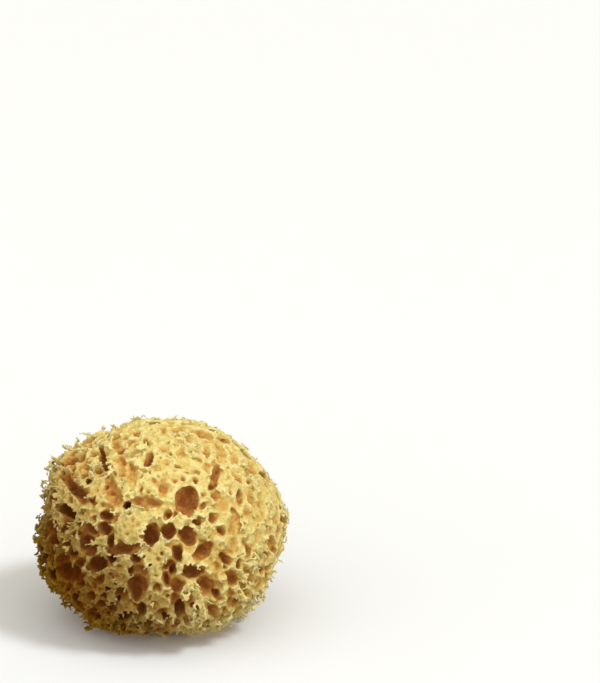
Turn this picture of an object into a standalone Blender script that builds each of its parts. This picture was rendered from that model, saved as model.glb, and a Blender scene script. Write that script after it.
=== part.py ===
"""A natural honeycomb bath sponge, about 118 mm wide, grown as one piece and cut flat underneath.

Metres, +Z up, +X to the right of the face, +Y away from it, with the cut base on z = 0.
The sponge is a rounded mass. Smooth-walled pits are sunk into it all round. The land between
them hangs a little from pit to pit, and stands up in spikes where three pits come together.
"""

import math

import bmesh
import bpy
import numpy as np
from mathutils import Matrix

# Driving dimensions, in millimetres and degrees.
METRES = 0.001
HEART = np.array([0.0, 0.0, 41.0])  # the middle of the mass, above the cut base
SEMI_AXES = np.array([58.3, 54.0, 53.0])  # half width, half depth and half height of the mass
EYE_HEIGHT = 22.0  # the face is described as seen from this far above the horizon
EYE_AWAY = 874.0  # and from this far away

# Broad swellings (+) and dents (-) of the mass: towards x, y, z from the heart, rise, spread.
SWELLINGS = (
    (-50.0, 10.5, 26.0, 3.0, 16.0),
    (-58.0, 3.4, 8.3, -2.6, 7.0),
    (-59.0, -1.5, -3.7, 1.4, 5.0),
    (-57.0, -4.5, -11.0, -1.2, 5.0),
    (46.0, 12.7, 31.5, -2.2, 14.0),
    (52.0, -7.5, -18.5, -2.4, 18.0),
    (20.0, 50.0, 10.0, 1.6, 22.0),
    (-30.0, 45.0, -15.0, -1.8, 20.0),
    (-5.0, 35.0, 40.0, -1.2, 18.0),
    (45.0, 35.0, -12.0, 1.2, 16.0),
    (-46.0, 14.0, 36.0, -1.0, 15.0),
    (-56.0, 8.0, 19.0, -1.4, 15.0),
    (-56.0, 2.0, 14.0, -1.4, 9.0),
    (-60.0, 0.0, 0.0, -2.1, 15.0),
    (-46.0, -14.0, -36.0, -3.2, 16.0),
    (-12.0, -38.0, -45.0, -6.0, 18.0),
    (14.0, -37.0, -45.0, -2.8, 18.0),
    (46.0, -14.0, -36.0, -2.4, 16.0),
)

# The pits of the face: right and up from the heart as seen, width, length, turn of the long
# axis from the horizontal, depth.
FACE_PITS = (
    # Upper left
    (-27.7, 35.5, 3.3, 10.0, -75, 9.0),
    (-19.2, 38.2, 3.2, 2.6, 90, 5.0),
    (-7.1, 42.3, 2.0, 3.5, 90, 5.0),
    (-24.5, 45.0, 2.8, 2.5, 90, 3.0),
    (-34.5, 24.0, 3.2, 2.4, 90, 5.0),
    (-42.0, 21.5, 4.5, 17.0, -50, 10.0),
    (-23.3, 18.5, 6.0, 13.0, -70, 6.0),
    (-8.3, 13.2, 4.2, 18.5, 0, 7.0),
    (-17.0, 12.1, 3.5, 3.5, 90, 10.0),
    (-26.8, 7.3, 4.5, 5.0, 90, 7.0),
    (-44.5, 9.8, 4.5, 7.0, -30, 9.0),
    (-50.3, 15.2, 5.0, 8.0, 90, 5.0),
    (-13.8, 27.0, 3.2, 9.0, 90, 3.5),
    (-19.0, 33.5, 3.5, 6.0, 90, 3.0),
    (-35.8, 31.2, 3.0, 5.0, -40, 3.0),
    (-27.4, 1.6, 4.4, 4.4, 90, 8.0),
    (-34.0, 1.0, 4.5, 5.5, -50, 5.0),
    (-52.2, 3.0, 5.0, 8.0, 90, 5.0),
    (-44.0, 4.5, 3.0, 6.0, 90, 4.0),
    (-34.0, 40.0, 3.5, 4.5, 90, 2.5),
    (-22.0, 41.5, 3.0, 4.0, 90, 2.5),
    # Upper right
    (11.6, 14.3, 9.5, 11.5, 95, 16.0),
    (6.5, 8.0, 1.5, 4.0, 70, 5.0),
    (2.8, 7.8, 3.5, 4.0, 90, 5.0),
    (16.0, 4.2, 3.6, 3.0, 90, 6.0),
    (19.6, 11.6, 3.5, 3.0, 90, 3.5),
    (24.2, 6.3, 3.5, 4.5, 40, 5.0),
    (28.0, 12.8, 5.0, 7.0, 40, 3.0),
    (25.3, 26.5, 3.0, 11.0, 80, 6.0),
    (24.4, 22.0, 3.2, 4.0, 90, 8.0),
    (24.8, 17.0, 4.0, 4.0, 90, 4.0),
    (14.6, 28.3, 2.0, 5.5, -15, 4.0),
    (9.1, 32.0, 2.5, 2.2, 90, 3.0),
    (9.3, 36.5, 3.0, 5.0, 90, 2.5),
    (2.2, 32.0, 3.0, 2.5, 90, 3.0),
    (1.0, 20.3, 4.0, 4.5, 90, 4.0),
    (20.5, 38.3, 4.0, 5.0, 90, 2.5),
    (27.5, 36.7, 3.0, 4.5, -35, 3.0),
    (34.0, 34.0, 3.5, 4.0, 90, 2.5),
    (13.7, 43.4, 4.0, 4.0, 90, 2.5),
    (0.7, 47.0, 2.5, 7.0, 90, 3.0),
    (40.3, 27.4, 3.5, 4.0, 90, 2.5),
    (46.5, 19.5, 4.0, 5.0, 90, 2.5),
    (46.9, 11.9, 3.0, 10.0, 90, 2.5),
    (53.1, 6.5, 4.0, 6.0, 90, 2.5),
    (33.4, 9.8, 2.0, 4.0, -60, 3.0),
    (32.2, 4.0, 3.2, 7.0, 50, 2.5),
    # Lower left
    (-24.5, -3.5, 3.0, 5.0, 90, 7.0),
    (-17.2, -7.5, 4.8, 16.5, 0, 8.0),
    (-5.1, -1.6, 7.5, 10.3, 75, 12.0),
    (-23.4, -11.8, 3.6, 3.6, 90, 9.0),
    (-12.7, -12.3, 4.0, 3.6, 90, 8.0),
    (-29.8, -14.7, 5.9, 6.6, 0, 9.0),
    (-42.3, -9.3, 3.6, 3.0, 90, 6.0),
    (-32.7, -7.8, 5.8, 7.0, 0, 6.0),
    (-36.2, -5.2, 4.0, 6.0, 90, 6.0),
    (-50.8, -3.2, 4.5, 6.0, 90, 6.0),
    (-44.0, -19.5, 7.0, 11.5, -10, 9.0),
    (-38.6, -14.5, 4.0, 5.0, 90, 5.0),
    (-46.6, -13.6, 5.0, 6.0, 90, 5.0),
    (-14.8, -18.2, 3.0, 4.2, 90, 5.0),
    (-9.8, -18.0, 5.5, 8.0, -20, 5.0),
    (-11.5, -26.0, 8.0, 10.0, 90, 8.0),
    (-17.0, -39.6, 4.0, 8.0, 35, 9.0),
    (-31.5, -37.0, 3.5, 4.0, 90, 4.0),
    (-29.0, -40.0, 3.0, 3.0, 90, 4.0),
    (-1.7, -25.7, 4.0, 4.5, 90, 4.0),
    (-9.0, -36.2, 4.0, 5.0, 90, 6.0),
    (-6.8, -43.3, 3.0, 4.0, 90, 4.0),
    (-19.0, -27.8, 4.0, 4.0, 90, 5.0),
    (-29.4, -22.0, 3.5, 6.0, 45, 4.0),
    (-22.0, -43.6, 2.0, 5.0, 90, 3.0),
    (-37.9, -24.4, 3.5, 4.0, 90, 4.0),
    # Lower right
    (3.2, 0.4, 6.0, 7.2, 60, 11.0),
    (12.0, -2.3, 7.0, 8.0, 110, 11.0),
    (7.0, -10.6, 4.2, 6.0, 110, 8.0),
    (19.6, -9.4, 6.2, 10.5, 55, 9.0),
    (3.0, -15.4, 3.8, 5.0, 25, 7.0),
    (3.0, -22.3, 3.5, 7.0, 100, 6.0),
    (15.0, -19.0, 5.0, 9.0, -5, 9.0),
    (21.0, -26.0, 7.0, 8.0, -45, 8.0),
    (25.9, -29.2, 3.2, 3.2, 90, 7.0),
    (29.8, -13.1, 4.0, 5.0, -60, 7.0),
    (36.0, -15.2, 2.2, 3.8, 90, 5.0),
    (27.8, -0.1, 3.6, 4.0, 90, 6.0),
    (33.4, -6.4, 4.5, 6.5, 90, 3.0),
    (40.3, -9.5, 2.5, 5.0, 90, 3.5),
    (45.0, -2.2, 4.5, 5.0, 90, 3.0),
    (32.6, -22.3, 5.0, 6.0, 90, 4.5),
    (47.3, -18.1, 3.5, 4.0, 90, 4.0),
    (7.5, -26.0, 5.0, 7.0, 90, 6.0),
    (9.1, -37.0, 4.5, 6.0, 90, 9.0),
    (13.0, -32.0, 4.5, 5.0, 90, 6.0),
    (6.6, -31.5, 4.0, 5.0, 90, 5.0),
    (24.2, -37.0, 5.0, 5.0, 90, 5.0),
    (21.7, -32.8, 3.5, 4.0, 90, 4.0),
    (34.7, -34.0, 3.5, 4.0, 90, 4.0),
    (30.0, -42.0, 3.0, 3.5, 90, 3.0),
    (51.5, -4.5, 3.0, 5.0, 90, 3.0),
    (27.1, -6.8, 3.0, 3.5, 90, 3.0),
    (25.9, -17.0, 3.0, 4.0, 90, 3.0),
)
SMALLEST_PIT = 2.3  # the mean width under which a pit is left out of the solid

# The pits of the sides, the back, the top and the base, strewn at random with a fixed seed.
SEED = 7
STREWN = {
    # Kind: tries, width, length over width, depth, least wall to the neighbours.
    "pit": (2500, (3.8, 7.0), (1.0, 2.0), (5.0, 11.0), 2.6),
    "dimple": (9000, (3.2, 5.2), (1.0, 1.7), (1.4, 3.2), 1.3),
}
# Broad tops of the face that stay whole: right, up, radius.
PLATEAUS = (
    (-16.0, 2.5, 8.5),
    (-3.0, 8.0, 4.0),
    (-32.3, 20.6, 5.0),
    (-8.0, 20.5, 6.0),
    (-2.8, -9.5, 4.5),
    (9.5, 24.8, 4.5),
    (10.0, 6.4, 2.5),
    (13.3, -11.2, 3.0),
)
CALM_FACE = 1.3  # added to the least wall over the face, whose larger pits are placed by eye
PLAIN_BASE = 13.0  # no pit comes nearer than this to the middle of the cut base

# The land between the pits.
LEAST_FACING = 0.6  # a mouth near the edge of the face is widened no more than this allows
SAG = 1.8  # how far a wall between two pits hangs below the corners that it spans
SAG_SPAN = 4.5  # the distance to a third pit at which a wall has all its sag
SAG_FADE = 1.6  # the distance from a rim over which the sag fades
HORN = 4.2  # how far a corner between three pits stands up as a spike
HORN_FADE = 0.8  # the difference of distances over which a spike falls away
HORN_REACH = 4.0  # the distance from the rims over which a spike falls away
NEAR = 11.0  # a pit has no say further from its middle than this, or its half length plus this
BASE_CALM = 1.5  # no sag and no spikes this near the cut base

SKIN_DIVISIONS = 8  # how often the starting ball is divided
BASE_SPARE = 0.8  # how far the mass goes on below the plane at which its base is cut
SPONGE_TRIANGLES = 9400
SPONGE_COLOUR = (0.60, 0.42, 0.16, 1.0)
SPONGE_ROUGHNESS = 0.92


def unit(rows):
    """The rows at length 1."""
    rows = np.asarray(rows, float)
    return rows / np.linalg.norm(rows, axis=-1, keepdims=True)


def reach(directions):
    """Distance from the heart to the skin: an ellipsoid's, plus a bell of each swelling's rise."""
    radius = 1.0 / np.sqrt(((directions / SEMI_AXES) ** 2).sum(axis=-1))
    for x, y, z, rise, spread in SWELLINGS:
        apart = np.arccos(np.clip(directions @ unit((x, y, z)), -1.0, 1.0))
        radius = radius + rise * np.exp(-((apart / math.radians(spread)) ** 2))
    return radius


def outside(points):
    """How far points lie outside the skin, measured along the line from the heart."""
    spokes = points - HEART
    return np.linalg.norm(spokes, axis=-1) - reach(unit(spokes))


def normal_at(point, step=0.5):
    """The skin's outward normal, from how outside() changes along each axis."""
    moves = np.eye(3) * step
    return unit(outside(point + moves) - outside(point - moves))


def to_base(directions):
    """Distance from the heart to the plane of the cut base, far away for directions that miss it."""
    return HEART[2] / np.maximum(-directions[..., 2], 1e-3)


def sight_axes():
    """Right, up and into the scene, for someone who looks at the face."""
    rise = math.radians(EYE_HEIGHT)
    right = np.array([1.0, 0.0, 0.0])
    up = np.array([0.0, math.sin(rise), math.cos(rise)])
    return right, up, np.cross(up, right)


def seen_point(right_by, up_by):
    """The point of the skin seen at a place on the face, and the line of sight to it.

    The sight line is halved again and again between the eye and the plane of the heart.
    """
    right, up, ahead = sight_axes()
    eye = HEART - ahead * EYE_AWAY
    near, far = eye, HEART + right * right_by + up * up_by
    for _ in range(40):
        middle = (near + far) / 2
        if outside(middle) > 0:
            near = middle
        else:
            far = middle
    return far, unit(far - eye)


class Pit:
    """A hollow: the middle of its mouth, its half axes across and along the mouth, and its depth."""

    def __init__(self, mouth, across, along, depth):
        self.mouth = mouth
        self.depth = depth
        self.half_width = np.linalg.norm(across)
        self.half_length = np.linalg.norm(along)
        self.across = across / self.half_width
        self.along = along / self.half_length

    def mean_width(self):
        return 2 * math.sqrt(self.half_width * self.half_length)

    def guards(self):
        """Circles along the mouth that stand for it when neighbours are kept apart."""
        half = self.along * max(0.0, self.half_length - self.half_width)
        return [self.mouth + half * share for share in (-1.0, 0.0, 1.0)]

    def stretch(self, offsets):
        """How far out offsets from the mouth's middle lie: 0 at the middle, 1 at the rim."""
        across = offsets @ self.across / self.half_width
        along = offsets @ self.along / self.half_length
        return np.hypot(across, along)


def onto_skin(vector, normal, sight):
    """A vector of the picture plane, carried along the line of sight onto the skin."""
    return vector + sight * (vector @ normal) / max(LEAST_FACING, -(sight @ normal))


def face_pits():
    right, up, _ = sight_axes()
    pits = []
    for right_by, up_by, width, length, turn, depth in FACE_PITS:
        mouth, sight = seen_point(right_by, up_by)
        normal = normal_at(mouth)
        angle = math.radians(turn)
        along = right * math.cos(angle) + up * math.sin(angle)
        across = up * math.cos(angle) - right * math.sin(angle)
        along = onto_skin(along, normal, sight) * length / 2
        across = onto_skin(across, normal, sight) * width / 2
        pits.append(Pit(mouth, across, along, depth))
    return pits


def strewn_pits(chance, pits, tries, widths, stretches, depths, wall):
    """Pits all round the rest, each kept a wall's width from those before it."""
    _, _, ahead = sight_axes()
    guards = np.array([guard for pit in pits for guard in pit.guards()])
    radii = np.repeat([pit.half_width for pit in pits], 3)
    tops = [seen_point(right_by, up_by)[0] for right_by, up_by, _ in PLATEAUS]
    guards = np.vstack([guards, tops])
    radii = np.append(radii, [radius for _, _, radius in PLATEAUS])
    added = []
    for _ in range(tries):
        direction = unit(chance.normal(size=3))
        width = chance.uniform(*widths)
        length = width * chance.uniform(*stretches)
        depth = chance.uniform(*depths)
        heading = chance.normal(size=3)
        mouth = HEART + direction * reach(direction)
        normal = normal_at(mouth)
        if mouth[2] < 0:
            mouth = HEART + direction * to_base(direction)
            normal = np.array([0.0, 0.0, -1.0])
            if np.linalg.norm(mouth[:2]) < PLAIN_BASE:
                continue
        along = unit(np.cross(normal, heading))
        pit = Pit(mouth, np.cross(normal, along) * width / 2, along * length / 2, depth)
        apart = [np.linalg.norm(guards - guard, axis=1) - radii for guard in pit.guards()]
        calm = CALM_FACE * max(0.0, -(normal @ ahead))
        if np.min(apart) < width / 2 + wall + calm:
            continue
        added.append(pit)
        guards = np.vstack([guards, pit.guards()])
        radii = np.append(radii, [width / 2] * 3)
    return added


def relief(directions, pits):
    """How far the surface lies above (+) or below (-) the skin in each direction.

    In a pit it is the depth times a steep-sided bowl. On the land it hangs a little between
    two pits and stands up in a spike where a third pit is as near as the other two.
    """
    skin = HEART + directions * np.minimum(reach(directions), to_base(directions))[:, None]
    gaps = np.full((4, len(directions)), NEAR)
    sunk = np.zeros(len(directions))
    for pit in pits:
        offsets = skin - pit.mouth
        apart = np.linalg.norm(offsets, axis=1)
        near = np.flatnonzero(apart < pit.half_length + NEAR)
        out = pit.stretch(offsets[near]).clip(1e-3)
        gaps[3, near] = apart[near] * (1.0 - 1.0 / out)
        gaps[:, near] = np.sort(gaps[:, near], axis=0)
        gaps[3, near] = NEAR
        bowl = np.sqrt(np.clip(1.0 - out**3, 0.0, None))
        sunk[near] = np.maximum(sunk[near], pit.depth * bowl)
    first, _, third = gaps[:3].clip(0.0)
    narrow = np.exp(-first / SAG_FADE)
    sag = SAG * narrow * np.clip((third - first) / SAG_SPAN, 0.0, 1.0)
    horn = HORN * np.exp(-(third - first) / HORN_FADE - first / HORN_REACH)
    calm = np.clip(skin[:, 2] / BASE_CALM - 1.0, 0.0, 1.0)
    return np.where(sunk > 0, -sunk, (horn - sag) * calm)


def mesh_object(name, form, collection):
    """A new object in a collection from a bmesh."""
    mesh = bpy.data.meshes.new(name)
    form.to_mesh(mesh)
    form.free()
    made = bpy.data.objects.new(name, mesh)
    collection.objects.link(made)
    return made


def sponge_object(pits, collection):
    """A finely divided ball, each vertex moved out to the skin and on by the relief."""
    form = bmesh.new()
    bmesh.ops.create_icosphere(form, subdivisions=SKIN_DIVISIONS, radius=1.0)
    sponge = mesh_object("sponge", form, collection)
    places = np.empty(len(sponge.data.vertices) * 3)
    sponge.data.vertices.foreach_get("co", places)
    directions = unit(places.reshape(-1, 3))
    radius = np.minimum(reach(directions), to_base(directions) + BASE_SPARE)
    places = HEART + directions * (radius + relief(directions, pits))[:, None]
    sponge.data.vertices.foreach_set("co", (places * METRES).ravel())
    sponge.data.update()
    return sponge


def base_cutter(collection):
    """A block whose top is the plane of the cut base."""
    form = bmesh.new()
    side = 4 * SEMI_AXES.max() * METRES
    bmesh.ops.create_cube(form, size=side, matrix=Matrix.Translation((0, 0, -side / 2)))
    cutter = mesh_object("base_cutter", form, collection)
    cutter.hide_render = True
    cutter.display_type = "WIRE"
    return cutter


def thin_out(sponge):
    """Fewer and larger faces, most of them kept where the surface bends most."""
    modifier = sponge.modifiers.new("fewer faces", "DECIMATE")
    modifier.ratio = SPONGE_TRIANGLES / len(sponge.data.polygons)


def cut_base(sponge, cutter):
    modifier = sponge.modifiers.new("cut base", "BOOLEAN")
    modifier.operation = "DIFFERENCE"
    modifier.solver = "EXACT"
    modifier.object = cutter


def sponge_material():
    """Dried sponge fibre: pale straw yellow and quite matt."""
    material = bpy.data.materials.new("dried_sponge_fibre")
    material.use_nodes = True
    shader = material.node_tree.nodes["Principled BSDF"]
    shader.inputs["Base Color"].default_value = SPONGE_COLOUR
    shader.inputs["Roughness"].default_value = SPONGE_ROUGHNESS
    shader.inputs["Metallic"].default_value = 0.0
    return material


def new_collection(name):
    collection = bpy.data.collections.new(name)
    bpy.context.scene.collection.children.link(collection)
    return collection


def clear_scene():
    for old in list(bpy.data.objects):
        bpy.data.objects.remove(old, do_unlink=True)


def main():
    clear_scene()
    parts = new_collection("sea_sponge")
    helpers = new_collection("helpers")
    chance = np.random.default_rng(SEED)
    pits = [pit for pit in face_pits() if pit.mean_width() > SMALLEST_PIT]
    for kind, settings in STREWN.items():
        added = strewn_pits(chance, pits, *settings)
        pits += added
        print(f"{len(added)} strewn: {kind}")

    sponge = sponge_object(pits, parts)
    sponge.data.materials.append(sponge_material())
    sponge.data.shade_smooth()
    thin_out(sponge)
    cut_base(sponge, base_cutter(helpers))
    print(f"{len(pits)} pits in all")


main()
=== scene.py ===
# %% [markdown]
# # A dried honeycomb bath sponge
#
# The thing on the table is the skeleton of an animal: a springy mass of fine fibre, pale straw
# yellow outside, with smooth amber walls inside its many pits and channels. It grew as one piece,
# so the frame holds one solid, "sponge". This lesson grows the fine surface in the same place, then
# adds the thin spikes and the felt of fibre that the eye sees at its edges.

# %% Load the frame
import math

import bpy
import numpy as np
from mathutils import Matrix, Vector


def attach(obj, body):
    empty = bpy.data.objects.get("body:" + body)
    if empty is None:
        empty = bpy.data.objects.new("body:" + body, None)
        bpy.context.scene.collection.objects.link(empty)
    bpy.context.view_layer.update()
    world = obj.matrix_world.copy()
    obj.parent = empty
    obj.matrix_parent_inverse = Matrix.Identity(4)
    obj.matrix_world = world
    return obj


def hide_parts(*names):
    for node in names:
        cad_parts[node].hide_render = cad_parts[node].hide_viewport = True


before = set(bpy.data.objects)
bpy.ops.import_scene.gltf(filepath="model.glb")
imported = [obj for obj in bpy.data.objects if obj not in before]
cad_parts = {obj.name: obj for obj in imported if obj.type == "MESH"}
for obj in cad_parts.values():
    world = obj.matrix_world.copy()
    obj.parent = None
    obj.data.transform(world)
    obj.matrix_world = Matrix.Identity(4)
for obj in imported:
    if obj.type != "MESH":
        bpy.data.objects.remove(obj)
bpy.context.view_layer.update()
METRES = 0.001

# %% [markdown]
# All lengths below are in millimetres, as a person would measure a sponge, and turn into metres
# only when a mesh is made. The mass is described first, without its pits: an egg-like body, a
# little wider than it is deep, with some broad swellings and dents. `reach` says how far its skin
# is from its heart in any direction, so one formula serves both a point on the skin and the whole
# space around it.

# %% The mass
HEART = np.array([0.0, 0.0, 41.0])  # the middle of the mass, above the cut base
SEMI_AXES = np.array([58.3, 54.0, 53.0])  # half width, half depth and half height
# Towards x, y, z from the heart, rise, spread in degrees.
SWELLINGS = (
    (-50.0, 10.5, 26.0, 3.0, 16.0),
    (-58.0, 3.4, 8.3, -2.6, 7.0),
    (-59.0, -1.5, -3.7, 1.4, 5.0),
    (-57.0, -4.5, -11.0, -1.2, 5.0),
    (46.0, 12.7, 31.5, -2.2, 14.0),
    (52.0, -7.5, -18.5, -2.4, 18.0),
    (20.0, 50.0, 10.0, 1.6, 22.0),
    (-30.0, 45.0, -15.0, -1.8, 20.0),
    (-5.0, 35.0, 40.0, -1.2, 18.0),
    (45.0, 35.0, -12.0, 1.2, 16.0),
    (-46.0, 14.0, 36.0, 0.4, 15.0),
    (-56.0, 8.0, 19.0, -1.4, 15.0),
    (-56.0, 2.0, 14.0, -1.4, 9.0),
    (-60.0, 0.0, 0.0, -2.1, 15.0),
    (-46.0, -14.0, -36.0, -3.2, 16.0),
    (-12.0, -38.0, -45.0, -6.0, 18.0),
    (14.0, -37.0, -45.0, -2.8, 18.0),
    (46.0, -14.0, -36.0, -2.4, 16.0),
    (30.0, -32.0, -46.0, -2.4, 14.0),
)


def unit(rows):
    """The rows at length 1."""
    rows = np.asarray(rows, float)
    return rows / np.linalg.norm(rows, axis=-1, keepdims=True)


def reach(directions):
    """Distance from the heart to the skin: an ellipsoid's, plus a bell of each swelling's rise.

    The bell is rise * exp(-(angle from the swelling / spread) squared).
    """
    radius = 1.0 / np.sqrt(((directions / SEMI_AXES) ** 2).sum(axis=-1))
    for x, y, z, rise, spread in SWELLINGS:
        apart = np.arccos(np.clip(directions @ unit((x, y, z)), -1.0, 1.0))
        radius = radius + rise * np.exp(-((apart / math.radians(spread)) ** 2))
    return radius


def outside(points):
    """How far points lie outside the skin, measured along the line from the heart."""
    spokes = points - HEART
    return np.linalg.norm(spokes, axis=-1) - reach(unit(spokes))


def normal_at(point, step=0.5):
    """The skin's outward normal, from how outside() changes along each axis."""
    moves = np.eye(3) * step
    return unit(outside(point + moves) - outside(point - moves))


to_sides = reach(np.diag((1.0, -1.0, 1.0))).round(1)
print("From the heart to the skin at the right, the front and the top:", to_sides, "mm")

# %% [markdown]
# The face of the sponge is seen from a little above. Its larger pits are placed one by one, the way
# a model maker would mark them with a pencil: how far right and up from the heart, how wide and
# long, how the long axis is turned, and how deep. A sight line from the eye through that place
# finds the skin.

# %% The eye, and the sight lines
EYE_HEIGHT = 22.0  # degrees above the horizon
EYE_AWAY = 874.0
HALVINGS = 40


def sight_axes():
    """Right, up and into the scene, for someone who looks at the face."""
    rise = math.radians(EYE_HEIGHT)
    right = np.array([1.0, 0.0, 0.0])
    up = np.array([0.0, math.sin(rise), math.cos(rise)])
    return right, up, np.cross(up, right)


def seen_point(right_by, up_by):
    """The point of the skin seen at a place on the face, and the line of sight to it.

    The sight line is halved again and again between the eye and the plane of the heart.
    """
    right, up, ahead = sight_axes()
    eye = HEART - ahead * EYE_AWAY
    near, far = eye, HEART + right * right_by + up * up_by
    for _ in range(HALVINGS):
        middle = (near + far) / 2
        if outside(middle) > 0:
            near = middle
        else:
            far = middle
    return far, unit(far - eye)


print("The middle of the face lies at", seen_point(0.0, 0.0)[0].round(1))
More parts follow.
